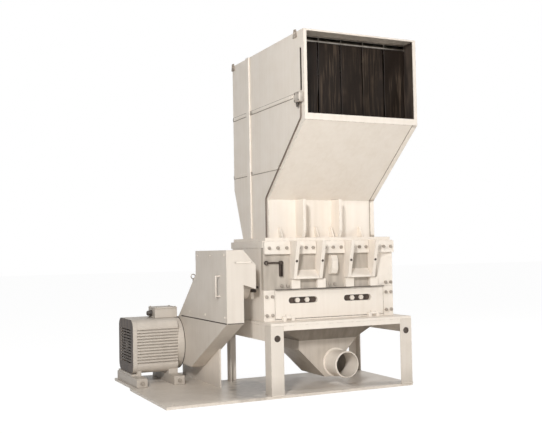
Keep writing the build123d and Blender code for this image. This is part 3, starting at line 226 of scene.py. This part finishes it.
def dull_black(name, colour, worn, roughness, clouds, metallic=0.0):
    """Blacked iron, moulded phenolic or moulded rubber: dark and dull, paler where hands and dust have been
    in clouds of the given size, with a fine grain drawn 5 mm wide."""
    material, tree = new_material(name)
    place = add(tree, "ShaderNodeTexCoord", (), "Object")
    wear = add(tree, "ShaderNodeMapRange", (blotches(tree, place, clouds, 5.0), 0.45, 0.75, 0.0, 0.6), 0)
    tone = add(tree, "ShaderNodeMix", {"Factor": wear, "A": linear(colour), "B": linear(worn)}, "Result",
               data_type="RGBA")
    bump = add(tree, "ShaderNodeBump", {"Height": blotches(tree, place, 0.005, 2.0), "Strength": 0.12,
                                        "Distance": 0.001}, 0)
    shader = add(tree, "ShaderNodeBsdfPrincipled", {"Base Color": tone, "Metallic": metallic,
                                                    "Roughness": roughness, "Normal": bump}, 0)
    add(tree, "ShaderNodeOutputMaterial", {"Surface": shader})
    return material


def strip_rubber(name, colour, scuffed):
    """Conveyor rubber in hanging strips: brown-black and dull, with paler upright scuffs about 16 mm apart in
    broad patches where scrap has brushed past."""
    material, tree = new_material(name)
    place = add(tree, "ShaderNodeTexCoord", (), "Object")
    scuffs = blotches(tree, place, 0.016, 6.0, (1, 1, 22))
    lines = add(tree, "ShaderNodeMapRange", (scuffs, 0.48, 0.7), 0)
    where = add(tree, "ShaderNodeMapRange", (blotches(tree, place, 0.22, 3.0, (1, 1, 1.6)), 0.42, 0.62), 0)
    worn = add(tree, "ShaderNodeMath", (lines, where), 0, operation="MULTIPLY")
    tone = add(tree, "ShaderNodeMix", {"Factor": worn, "A": linear(colour), "B": linear(scuffed)}, "Result",
               data_type="RGBA")
    rough = add(tree, "ShaderNodeMapRange", (worn, 0.0, 1.0, 0.55, 0.75), 0)
    bump = add(tree, "ShaderNodeBump", {"Height": scuffs, "Strength": 0.3, "Distance": 0.002}, 0)
    shader = add(tree, "ShaderNodeBsdfPrincipled", {"Base Color": tone, "Specular IOR Level": 0.18,
                                                    "Roughness": rough, "Normal": bump}, 0)
    add(tree, "ShaderNodeOutputMaterial", {"Surface": shader})
    return material


CREAM_COLOURS = ("#EAE1D6", "#DCD0C1")
MOTOR_COLOURS = ("#C9C0B5", "#B5AB9E")
CREAM = enamel("cream alkyd enamel", *CREAM_COLOURS)
# The floor plate's darker oval is painted shade for the shade under the stand
PLATE = enamel("floor plate enamel, painted shade under the stand", "#EAE1D6", "#CFC5B9", "#BDB3A7", gloss=0.3, mottle=0.6,
               dust=0.2, shine=0.2, mask=plate_painted_shade_mask, other="#82786D", other_patchy="#958B80", other_rough=0.32)
# The chute's darker enamel is painted shade for the dimness under the table, and the band across its top is the
# table's painted shadow
CHUTE = enamel("dusty chute enamel, sooted below the table", "#C6BCB0", "#AA9F92", "#988D80", mottle=0.6,
               dust=0.5, mask=beyond("Z", TABLE_SHADOW_LEVEL), other="#857B6F", other_patchy="#968B7F")
MOTOR = enamel("motor enamel", *MOTOR_COLOURS, gloss=0.42)
# The belt guards and the stand get darker copies of the cream enamel: painted shade for the dimmer light low
# down on the drive side
GUARD = enamel("belt guard enamel darkened as painted shade", "#D8CFC4", "#C8BDB0")
STAND = enamel("stand enamel darkened as painted shade", "#DCD3C8", "#CEC3B5")
# The chamber wall above the door is darker: painted shade for the front brackets' shadows
CHAMBER = enamel("cream enamel, painted shade above the door", *CREAM_COLOURS, mask=wall_painted_shade_mask, other="#ADA397",
                 other_patchy="#C1B7AB", other_rough=0.55)
LINED_LEFT = enamel("cream enamel, lined on the right", *CREAM_COLOURS, mask=facing(1, 0, 0))
LINED_RIGHT = enamel("cream enamel, lined on the left", *CREAM_COLOURS, mask=facing(-1, 0, 0))
# The hopper top's downward faces get a darker copy of the cream: painted shade
TOP_SHADED_BELOW = enamel("cream enamel, painted shade below", *CREAM_COLOURS, mask=facing(0, 0, -1), other="#B0A598",
                   other_patchy="#C9BEB1")
LINED_FRONT = enamel("cream enamel, lined behind", *CREAM_COLOURS, mask=facing(0, 1, 0.5))
LINED_REAR = enamel("cream enamel, lined in front", *CREAM_COLOURS, mask=facing(0, -1, 0))
# The fan cowl's left end is dark brown: painted shade on its grille
COWL = enamel("motor enamel, painted shade on the fan end", *MOTOR_COLOURS, gloss=0.42, mask=facing(-1, 0, 0),
              other="#372D26", other_patchy="#5A4D43")
CLAMP = enamel("clamp plate with pale bolts", "#E4DBD0", "#CFC3B5", mask=beyond("Y", CLAMP_FRONT),
               other="#3A2F28", other_patchy="#5A4C42")
STIFFENER = enamel("cream enamel with rubbed lifting lugs", *CREAM_COLOURS,
                   mask=away_from("Y", STIFFENER_MIDDLE, LUG_REACH), other="#8E8378", other_patchy="#C6BBAE")
STEEL = bare_metal("machined steel", "#A9A39B", "#7D766E", 0.28)
BOLT = bare_metal("plated bolts", "#B5AB9F", "#8B8176", 0.35, metallic=0.5)
CAST = bare_metal("cast iron", "#6B645D", "#4A443F", 0.5)
SWITCH = bare_metal("die-cast switch body", "#C9C0B5", "#8A7F74", 0.45, metallic=0.3)
BLACKED = dull_black("blacked iron", "#3A302A", "#6A5D52", 0.5, 0.05, metallic=0.3)
MOULDED = dull_black("moulded phenolic", "#3B342F", "#5D534A", 0.5, 0.05)
CONDUIT = dull_black("grey-painted conduit", "#6E6258", "#8A7D71", 0.6, 0.08)
SEAL = dull_black("sponge rubber seal", "#40362F", "#5E5248", 0.8, 0.04)
GRIME = dull_black("grime in the joints", "#8C8175", "#B3A89B", 0.7, 0.1)
BELT = dull_black("belt rubber", "#241F1C", "#3B342F", 0.7, 0.03)
RUBBER = strip_rubber("curtain rubber", "#1D150F", "#584B3F")

FINISHES = {
    **{name: CREAM for name in nodes},
    **{name: STEEL for name in ("rotor_shaft", "motor_rotor", "fly_knives", "fly_knife_bolts", "bed_knives",
                                "screen", "shaft_bearings", "hopper_hinge_brackets", "curtain_rail")},
    **{name: CAST for name in ("driven_pulley", "drive_pulley", "rotor_core")},
    **{name: MOTOR for name in ("motor_frame", "motor_end_shields", "terminal_box", "terminal_box_lid",
                                "motor_slide_rails")},
    **{name: GUARD for name in ("upper_belt_guard", "lower_belt_guard")},
    "base_plate": PLATE,
    "stand_legs": STAND,
    "chamber_front_frame": CHAMBER,
    "discharge_chute": CHUTE,
    "motor_fan_cowl": COWL,
    "hopper_left_side": LINED_LEFT,
    "hopper_right_side": LINED_RIGHT,
    "hopper_top": TOP_SHADED_BELOW,
    "hopper_front_panels": LINED_FRONT,
    "hopper_rear_panels": LINED_REAR,
    "hopper_stiffeners": STIFFENER,
    "cooling_fan": MOULDED,
    "chamber_bolts": BOLT,
    "clamp_lever": BLACKED,
    "side_knob": MOULDED,
    "interlock_switch": SWITCH,
    "switch_conduit": CONDUIT,
    "door_clamp_plates": CLAMP,
    "v_belts": BELT,
}
for name, finish in FINISHES.items():
    nodes[name].data.materials.clear()
    nodes[name].data.materials.append(finish)

# Rounded edges on the heavy plate work and folded sheet, in millimetres
EDGE_RADII = {
    "upper_belt_guard": 4, "lower_belt_guard": 4, "stand_table": 3, "stand_legs": 3, "front_brackets": 3,
    "front_clamp_bars": 3, "chamber_front_frame": 3, "throat_gussets": 3, "terminal_box": 5,
    "terminal_box_lid": 4, "motor_slide_rails": 5, "chamber_bolts": 2, "hopper_stiffeners": 4,
    "interlock_switch": 5,
}
for name, radius in EDGE_RADII.items():
    weld = nodes[name].modifiers.new("weld", "WELD")
    weld.merge_threshold = 0.00001
    bevel = nodes[name].modifiers.new("edges", "BEVEL")
    bevel.width = radius * MM
    bevel.segments = 2
    bevel.limit_method = "ANGLE"
    bevel.angle_limit = radians(40)


# Pieces made as grids of points

def put(name, grids, finish, body, smooth=True):
    """Mesh of point grids (rows, columns, 3), each closed along its columns if its flag says so."""
    points, faces, start = [], [], 0
    for grid, closed in grids:
        rows, columns = grid.shape[:2]
        index = np.arange(rows * columns).reshape(rows, columns) + start
        if closed:
            index = np.hstack([index, index[:, :1]])
        quads = np.stack([index[:-1, :-1], index[:-1, 1:], index[1:, 1:], index[1:, :-1]], axis=-1)
        points.append(grid.reshape(-1, 3))
        faces.append(quads.reshape(-1, 4))
        start += rows * columns
    mesh = bpy.data.meshes.new(name)
    mesh.from_pydata(np.concatenate(points).tolist(), [], np.concatenate(faces).tolist())
    mesh.polygons.foreach_set("use_smooth", np.full(len(mesh.polygons), smooth))
    mesh.materials.append(finish)
    piece = bpy.data.objects.new(name, mesh)
    scene.collection.objects.link(piece)
    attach(piece, body)
    return piece


def unit(vectors):
    """Vectors scaled to length 1 along their last axis."""
    return vectors / np.linalg.norm(vectors, axis=-1, keepdims=True)


def bar(path, out, width, thick, power=8):
    """Flat bar along a path, its back on a surface whose outward normal is out. Its section is a
    superellipse, |a| ** power + |b| ** power = 1, width across and thick high, closed to its middle
    at both ends."""
    path = np.array(path, float)
    out = unit(np.broadcast_to(np.array(out, float), path.shape))
    across = unit(np.cross(out, np.gradient(path, axis=0)))
    turn = np.linspace(0, 2 * pi, 28, endpoint=False)
    a = np.sign(np.cos(turn)) * np.abs(np.cos(turn)) ** (2 / power) * width / 2
    b = (1 + np.sign(np.sin(turn)) * np.abs(np.sin(turn)) ** (2 / power)) * thick / 2
    grid = path[:, None] + across[:, None] * a[:, None] + out[:, None] * b[:, None]
    middle = path[:, None] + out[:, None] * np.full((turn.size, 1), thick / 2)
    return np.concatenate([middle[:1], grid, middle[-1:]]), True


def turned(centre, axis, profile, sides=20):
    """Round piece: the profile's (radius, height) points turned about an axis through a centre."""
    axis = unit(np.array(axis, float))
    side = unit(np.cross(axis, (0.31, 0.62, 0.72)))
    other = np.cross(axis, side)
    turn = np.linspace(0, 2 * pi, sides, endpoint=False)
    ring = np.cos(turn)[:, None] * side + np.sin(turn)[:, None] * other
    radius, height = np.array(profile, float).T
    return np.array(centre, float) + ring * radius[:, None, None] + axis * height[:, None, None], True


def wire_ring(radius, wide, high):
    """Profile of a ring of oval wire, for turning: (radius + wide cos a, high sin a) around the wire."""
    around = np.linspace(0, 2 * pi, 13)
    return np.stack([radius + wide * np.cos(around), high * np.sin(around)], axis=-1)


def heads(places, axis, across, height, sides=6):
    """Screw or bolt heads at several places: a flat prism with a chamfered rim and a washer below."""
    rim = [(across * 0.62, 0), (across * 0.62, height * 0.2), (across * 0.5, height * 0.2),
           (across * 0.5, height * 0.85), (across * 0.42, height), (0, height)]
    return [turned(place, axis, rim, sides) for place in places]


def bead(start, end, out, width, ripple=0.012):
    """Fillet weld: a half-round ridge of the given width from start to end, whose height swells and sinks by
    an eighth with every ripple."""
    start, end = np.array(start, float), np.array(end, float)
    length = np.linalg.norm(end - start)
    rows = max(3, int(length / (ripple / 2)))
    along = np.linspace(0, 1, rows)[:, None]
    across = unit(np.cross(out, end - start))
    turn = np.linspace(0, 2 * pi, 10, endpoint=False)
    swell = width / 2 * (1 + 0.125 * np.sin(along * length / ripple * 2 * pi))
    ring = np.cos(turn)[:, None] * across + np.sin(turn)[:, None] * unit(np.array(out, float))
    return start + along[..., None] * (end - start) + swell[..., None] * ring, True


# Curtain strips: rubber ribbons that hang from the rod. Each is cupped across its width by a parabola, leans by
# a straight slope and waves down its length by a sine, from nothing at the rod to full a third of the way down
LAP = 0.004
STRIP_THICK, ROD_GAP, WAVE, WAVES_DOWN = 0.005, 0.004, 0.003, 1.2
for i in range(1, 6):
    low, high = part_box(f"curtain_strip_{i}")
    rng = np.random.default_rng(i)
    bow, lean, phase = rng.uniform(-0.006, 0.008), rng.uniform(-0.006, 0.006), rng.uniform(0, 2 * pi)
    across = np.linspace(0, 1, 25)[:, None]
    down = np.linspace(0, 1, 61)[None, :]
    x = low.x - LAP + (high.x - low.x + 2 * LAP) * across + 0 * down
    z = high.z - ROD_GAP - (high.z - low.z - ROD_GAP) * down + 0 * across
    free = np.minimum(1, down * 3)
    waved = WAVE * np.sin(2 * pi * (WAVES_DOWN * down + across) + phase)
    y = (low.y + high.y) / 2 + free * (bow * (1 - 4 * (across - 0.5) ** 2) + lean * (across - 0.5) + waved)
    strip = put(f"rubber_strip_{i}", [(np.stack([x, y, z], axis=-1), False)], RUBBER, f"strip_{i}")
    rubber = strip.modifiers.new("rubber", "SOLIDIFY")
    rubber.thickness = STRIP_THICK
    rubber.offset = 0
    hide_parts(f"curtain_strip_{i}")

# Hopper: lap joints around its sides and back, with grime beside them
left_low, left_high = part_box("hopper_left_side")
right_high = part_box("hopper_right_side")[1]
mouth_y, sill_z = left_low.y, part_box("mouth_frame")[0].z
throat_y, throat_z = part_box("throat_gussets")[1].y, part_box("throat_gussets")[1].z
flange_z, rear_y = left_low.z, left_high.y
STIFFENER_FRONT, STIFFENER_REAR = 0.108, 0.172
LAP_WIDTH, LAP_THICK, GRIME_THICK, CORNER = 0.026, 0.005, 0.002, 0.004
# Each joint's height, its start behind the front edge, and the rise and width of each grime line beside it
LAP_JOINTS = ((2.205, 0.17, ((-0.015, 0.006), (0.015, 0.004))),
              (1.714, 0.045, ((-0.015, 0.005),)))


def front_edge(z):
    """Y of the hopper's front at a height: level with the mouth, down the slope, then down the throat."""
    return float(np.interp(z, (throat_z, sill_z), (throat_y, mouth_y)))


laps, grime_lines = [], []
for level, set_back, lines in LAP_JOINTS:
    for side, out in ((left_low.x, (-1, 0, 0)), (right_high.x, (1, 0, 0))):
        for y0, y1 in ((front_edge(level) + set_back, STIFFENER_FRONT), (STIFFENER_REAR, rear_y - CORNER)):
            run = np.linspace((side, y0, level), (side, y1, level), 12)
            laps.append(bar(run, out, LAP_WIDTH, LAP_THICK))
            grime_lines += [bar(run + (0, 0, rise), out, width, GRIME_THICK, power=2) for rise, width in lines]
    rear_run = np.linspace((left_low.x + CORNER, rear_y, level), (right_high.x - CORNER, rear_y, level), 12)
    laps.append(bar(rear_run, (0, 1, 0), LAP_WIDTH, LAP_THICK))
put("hopper_lap_joints", laps, CREAM, "hopper")
put("hopper_joint_grime", grime_lines, GRIME, "hopper")

# Edge strip down the right of the hopper's sloping front and throat, with a dirty joint along its left
EDGE_STRIP, EDGE_THICK, EDGE_GAP, CAULK_WIDTH = 0.036, 0.006, 0.002, 0.008
edge_x = right_high.x - EDGE_STRIP / 2 - EDGE_GAP
slope_out = (0, throat_z - sill_z, mouth_y - throat_y)
slope_run = np.linspace((edge_x, mouth_y, sill_z), (edge_x, throat_y, throat_z), 24)
throat_run = np.linspace((edge_x, throat_y, throat_z), (edge_x, throat_y, flange_z + EDGE_GAP), 12)
edge_runs = ((slope_run, slope_out), (throat_run, (0, -1, 0)))
put("hopper_edge_strip", [bar(run, out, EDGE_STRIP, EDGE_THICK) for run, out in edge_runs],
    CREAM, "hopper")
aside = (-EDGE_STRIP / 2 - EDGE_GAP, 0, 0)
put("hopper_edge_caulk", [bar(run + aside, out, CAULK_WIDTH, GRIME_THICK, power=2) for run, out in edge_runs],
    GRIME, "hopper")

# Interlock switch: a cable gland under its body, and its cover screws
SWITCH_GLAND = [(0, -0.002), (0.013, -0.002), (0.013, 0.012), (0.010, 0.014), (0.010, 0.026), (0.007, 0.03),
                (0, 0.03)]
GLAND_INSET, SWITCH_INSET = 0.02, 0.012
switch_low, switch_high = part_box("interlock_switch")
switch_mid = (switch_low + switch_high) / 2
gland = (switch_mid.x, switch_high.y - GLAND_INSET, switch_low.z)
put("switch_gland", [turned(gland, (0, 0, -1), SWITCH_GLAND)], MOULDED, "hopper")
screws = [(switch_low.x, y, z) for y in (switch_low.y + SWITCH_INSET, switch_high.y - SWITCH_INSET)
          for z in (switch_low.z + SWITCH_INSET, switch_high.z - SWITCH_INSET)]
put("switch_screws", heads(screws, (-1, 0, 0), across=0.009, height=0.003, sides=12), BLACKED, "hopper",
    smooth=False)

# Rubber edging on the sight slot's rear edge
SLOT_REAR, SLOT_LOW, SLOT_HIGH, SHEET_MIDDLE = -0.773, 2.229, 2.541, 0.003
slot_x = left_low.x + SHEET_MIDDLE
slot_run = np.linspace((slot_x, SLOT_REAR, SLOT_LOW), (slot_x, SLOT_REAR, SLOT_HIGH), 12)
put("sight_slot_edging", [bar(slot_run, (0, -1, 0), width=0.0064, thick=0.003)], SEAL, "hopper")

# Dowel screws in the sloping fronts of the four bracket ribs, a little under halfway up
RIB_MIDDLES, RIB_FOOT, RIB_LEAN = (-0.339, -0.117, 0.139, 0.361), (-0.358, 0.868), (-0.072, 0.293)
DOWEL_RISE = 0.47
dowels = [(x, RIB_FOOT[0] + RIB_LEAN[0] * DOWEL_RISE, RIB_FOOT[1] + RIB_LEAN[1] * DOWEL_RISE)
          for x in RIB_MIDDLES]
put("rib_dowels", heads(dowels, (0, -RIB_LEAN[1], RIB_LEAN[0]), across=0.016, height=0.005, sides=12), BLACKED,
    "machine", smooth=False)

# Door seal along the top of the screen door, squeezed into a slight wave
SEAL_INSET, SQUEEZE, SEAL_POINTS = 0.012, 0.0015, 60
door_low, door_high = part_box("screen_door")
seal_y = door_low.y + SEAL_INSET
top_run = np.linspace((door_low.x, seal_y, door_high.z), (door_high.x, seal_y, door_high.z), SEAL_POINTS)
top_run[:, 2] += SQUEEZE * np.sin(np.linspace(0, 9, SEAL_POINTS))
put("door_seal", [bar(top_run, (0, 0, 1), width=0.024, thick=0.0035, power=3)], SEAL, "door")

# Terminal box: lid screws, and a cable gland on its left end
TERMINAL_GLAND = [(0, -0.002), (0.026, -0.002), (0.026, 0.014), (0.021, 0.016), (0.021, 0.034), (0.015, 0.042),
                  (0, 0.042)]
LID_INSET = 0.014
lid_low, lid_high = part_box("terminal_box_lid")
lid_screws = [(x, y, lid_high.z) for x in (lid_low.x + LID_INSET, lid_high.x - LID_INSET)
              for y in (lid_low.y + LID_INSET, lid_high.y - LID_INSET)]
put("terminal_screws", heads(lid_screws, (0, 0, 1), across=0.011, height=0.005), BOLT, "machine",
    smooth=False)
box_low, box_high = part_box("terminal_box")
entry = (box_low.x, (box_low.y + box_high.y) / 2, (box_low.z + box_high.z) / 2)
put("terminal_gland", [turned(entry, (-1, 0, 0), TERMINAL_GLAND, 24)], MOULDED, "machine")

# Jacking screws at the front ends of the motor's slide rails
RAIL_MIDDLE = 0.045
rails_low, rails_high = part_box("motor_slide_rails")
rail_z = (rails_low.z + rails_high.z) / 2
jacks = [(x, rails_low.y, rail_z) for x in (rails_low.x + RAIL_MIDDLE, rails_high.x - RAIL_MIDDLE)]
put("rail_jacking_screws", heads(jacks, (0, -1, 0), across=0.03, height=0.018), BOLT, "machine",
    smooth=False)

# Dark gasket between the motor's end shield and the belt guard, which also stands in as a painted shadow of the
# end shield on the guard
GASKET_BORE, GASKET_THICK, GASKET_LIP, GASKET_BITE = 0.2, 0.0035, 0.004, 0.001
shields_low, shields_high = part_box("motor_end_shields")
spindle_low, spindle_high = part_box("motor_rotor")
shield_face = (shields_high.x - GASKET_BITE, (spindle_low.y + spindle_high.y) / 2,
               (spindle_low.z + spindle_high.z) / 2)
gasket_radius = (shields_high.y - shields_low.y) / 2 + GASKET_LIP
gasket = [(GASKET_BORE, 0), (gasket_radius, 0), (gasket_radius, GASKET_THICK), (GASKET_BORE, GASKET_THICK),
          (GASKET_BORE, 0)]
put("shield_gasket_and_painted_shadow", [turned(shield_face, (1, 0, 0), gasket, 72)], SEAL, "machine",
    smooth=False)

# Belt guards: a seal along the seam between them, screws on the cover's left face, and a catch bar on the hood
SEAM_END, SEAM_CORNER = 0.66, 0.004
cover_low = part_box("upper_belt_guard")[0]
guard_low, guard_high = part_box("lower_belt_guard")
guard_left, guard_right, seam_z = guard_low.x, guard_high.x, guard_high.z
left_seam = np.linspace((guard_left, guard_low.y + SEAM_CORNER, seam_z), (guard_left, SEAM_END, seam_z), 30)
front_seam = np.linspace((guard_left + SEAM_CORNER, guard_low.y, seam_z),
                         (guard_right - SEAM_CORNER, guard_low.y, seam_z), 8)
put("guard_seam_seal", [bar(left_seam, (-1, 0, 0), width=0.008, thick=0.003, power=3),
                        bar(front_seam, (0, -1, 0), width=0.006, thick=0.002, power=3)],
    SEAL, "machine")
COVER_SCREWS = ((-0.31, 1.06), (-0.02, 1.06), (0.26, 1.06), (-0.31, 0.6), (0.1, 0.6), (0.45, 0.6))
cover_screws = [(guard_left, y, z) for y, z in COVER_SCREWS]
put("cover_screws", heads(cover_screws, (-1, 0, 0), across=0.014, height=0.006), CREAM, "belt_cover",
    smooth=False)
LATCH_Z, LATCH_REACH = 1.005, 0.07
latch_run = np.linspace((guard_right - LATCH_REACH, cover_low.y, LATCH_Z),
                        (guard_right + LATCH_REACH, cover_low.y, LATCH_Z), 8)
put("hood_latch", [bar(latch_run, (0, -1, 0), width=0.012, thick=0.006, power=5)], CREAM, "belt_cover")

# Lifting eye on a shank that stands on the cover's rear slope, by its left edge
EYE_INSET, EYE_Y, EYE_Z, EYE_RADIUS, EYE_WIRE = 0.012, 0.401, 0.890, 0.018, 0.004
SHANK_RADIUS, SHANK_END = 0.005, 0.07
eye = (guard_left + EYE_INSET, EYE_Y, EYE_Z)
shank = [(0, EYE_RADIUS), (SHANK_RADIUS, EYE_RADIUS), (SHANK_RADIUS, SHANK_END), (0, SHANK_END)]
put("cover_lifting_eye", [turned(eye, (0, 1, 0), wire_ring(EYE_RADIUS, EYE_WIRE, EYE_WIRE), 36),
                          turned(eye, (0, 0, -1), shank, 12)], BOLT, "belt_cover")

# Welds along the outer sides of the front legs, to the base plate
LEG, WELD = 0.106, 0.012
legs_low, legs_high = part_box("stand_legs")
foot_z = legs_low.z
foot_welds = []
for x0, x1 in ((legs_low.x, legs_low.x + LEG), (legs_high.x - LEG, legs_high.x)):
    foot_welds.append(bead((x0, legs_low.y, foot_z), (x1, legs_low.y, foot_z), (0, -1, 0), WELD))
for x, out in ((legs_low.x, (-1, 0, 0)), (legs_high.x, (1, 0, 0))):
    foot_welds.append(bead((x, legs_low.y, foot_z), (x, legs_low.y + LEG, foot_z), out, WELD))
put("leg_foot_welds", foot_welds, PLATE, "machine")

# Rubber bungs in the holes of the front legs: a plug with a raised lip and a dished face
HOLE_DROP, HOLE_RADIUS, BUNG_INSET = 0.112, 0.021, 0.002
BUNG = [(0, -0.008), (HOLE_RADIUS, -0.008), (HOLE_RADIUS, 0.0), (HOLE_RADIUS + 0.004, 0.0),
        (HOLE_RADIUS + 0.003, 0.005), (HOLE_RADIUS * 0.7, 0.004), (0, 0.003)]
bung_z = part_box("stand_table")[1].z - HOLE_DROP
bungs = [turned((x, legs_low.y + BUNG_INSET, bung_z), (0, -1, 0), BUNG, 28)
         for x in (legs_low.x + LEG / 2, legs_high.x - LEG / 2)]
put("leg_hole_bungs", bungs, SEAL, "machine")

# Outlet: a rolled rim at the pipe's end
RIM_RADIUS, RIM_WIDE, RIM_HIGH, RIM_INSET = 0.100, 0.004, 0.006, 0.012
pipe_low, pipe_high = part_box("outlet_pipe")
rim_middle = ((pipe_low.x + pipe_high.x) / 2, pipe_low.y + RIM_INSET, (pipe_low.z + pipe_high.z) / 2)
put("outlet_rim", [turned(rim_middle, (0, -1, 0), wire_ring(RIM_RADIUS, RIM_WIDE, RIM_HIGH), 48)], CREAM,
    "machine")

# Camera: lens and place worked out from the photograph's own perspective lines
camera = bpy.data.objects.new("camera", bpy.data.cameras.new("camera"))
scene.collection.objects.link(camera)
camera.data.sensor_width = 36
camera.data.lens = 54.2
right, up = Vector((0.9044, -0.4265, -0.0176)), Vector((-0.0020, -0.0455, 0.9990))
ahead = Vector((0.4268, 0.9034, 0.04205))
camera.matrix_world = (Matrix.Translation((-3.1565, -5.9088, 1.0833))
                       @ Matrix((right, up, -ahead)).transposed().to_4x4())
scene.camera = camera

MACHINE_MIDDLE = Vector((-0.2, 0.0, 1.3))


def area_light(name, azimuth, elevation, distance, size, level):
    """Square studio light, at degrees left of the front and above the floor, aimed at the machine's middle.
    Its level is the brightness it gives a white face turned to it: power / (pi distance) ** 2."""
    lamp = bpy.data.lights.new(name, "AREA")
    lamp.size, lamp.energy = size, level * (pi * distance) ** 2
    light = bpy.data.objects.new(name, lamp)
    az, el = radians(azimuth), radians(elevation)
    away = Vector((-sin(az) * cos(el), -cos(az) * cos(el), sin(el)))
    light.location = MACHINE_MIDDLE + away * distance
    light.rotation_euler = away.to_track_quat("Z", "Y").to_euler()
    scene.collection.objects.link(light)


area_light("key", 37, 18, 8.0, 0.9, 0.66)
area_light("side", -73, 18, 7.0, 1.0, 0.48)
area_light("fill", 20, 4, 8.0, 2.0, 0.15)
area_light("bounce", 4, -13, 4.5, 3.0, 0.04)
area_light("top", 20, 84, 5.5, 1.6, 0.2)

# White surroundings: the world and floor look white to the camera, and light the machine softly
WHITE = (1, 1, 1, 1)


def seen(tree):
    """Whether the camera or a glossy surface looks: the larger of the two ray flags."""
    rays = add(tree, "ShaderNodeLightPath")
    return add(tree, "ShaderNodeMath", (rays.outputs["Is Camera Ray"], rays.outputs["Is Glossy Ray"]), 0,
               operation="MAXIMUM")


world = bpy.data.worlds.new("studio")
scene.world = world
world.use_nodes = True
tree = world.node_tree
tree.nodes.clear()
soft = add(tree, "ShaderNodeBackground", {"Color": linear("#FFFCF8"), "Strength": 0.07}, 0)
white = add(tree, "ShaderNodeBackground", {"Color": WHITE, "Strength": 1.0}, 0)
sky = add(tree, "ShaderNodeMixShader", (seen(tree), soft, white), 0)
add(tree, "ShaderNodeOutputWorld", {"Surface": sky})

studio_floor, tree = new_material("studio floor")
matt = add(tree, "ShaderNodeBsdfDiffuse", {"Color": linear("#F4F1EC")}, 0)
glow = add(tree, "ShaderNodeEmission", {"Color": WHITE, "Strength": 1.08}, 0)
share = add(tree, "ShaderNodeMath", (seen(tree), 0.9), 0, operation="MULTIPLY")
mix = add(tree, "ShaderNodeMixShader", (share, matt, glow), 0)
add(tree, "ShaderNodeOutputMaterial", {"Surface": mix})
FLOOR = 40.0
floor_mesh = bpy.data.meshes.new("floor")
corners = [(-FLOOR, -FLOOR, 0), (FLOOR, -FLOOR, 0), (FLOOR, FLOOR, 0), (-FLOOR, FLOOR, 0)]
floor_mesh.from_pydata(corners, [], [(0, 1, 2, 3)])
floor_mesh.materials.append(studio_floor)
floor = bpy.data.objects.new("floor", floor_mesh)
scene.collection.objects.link(floor)
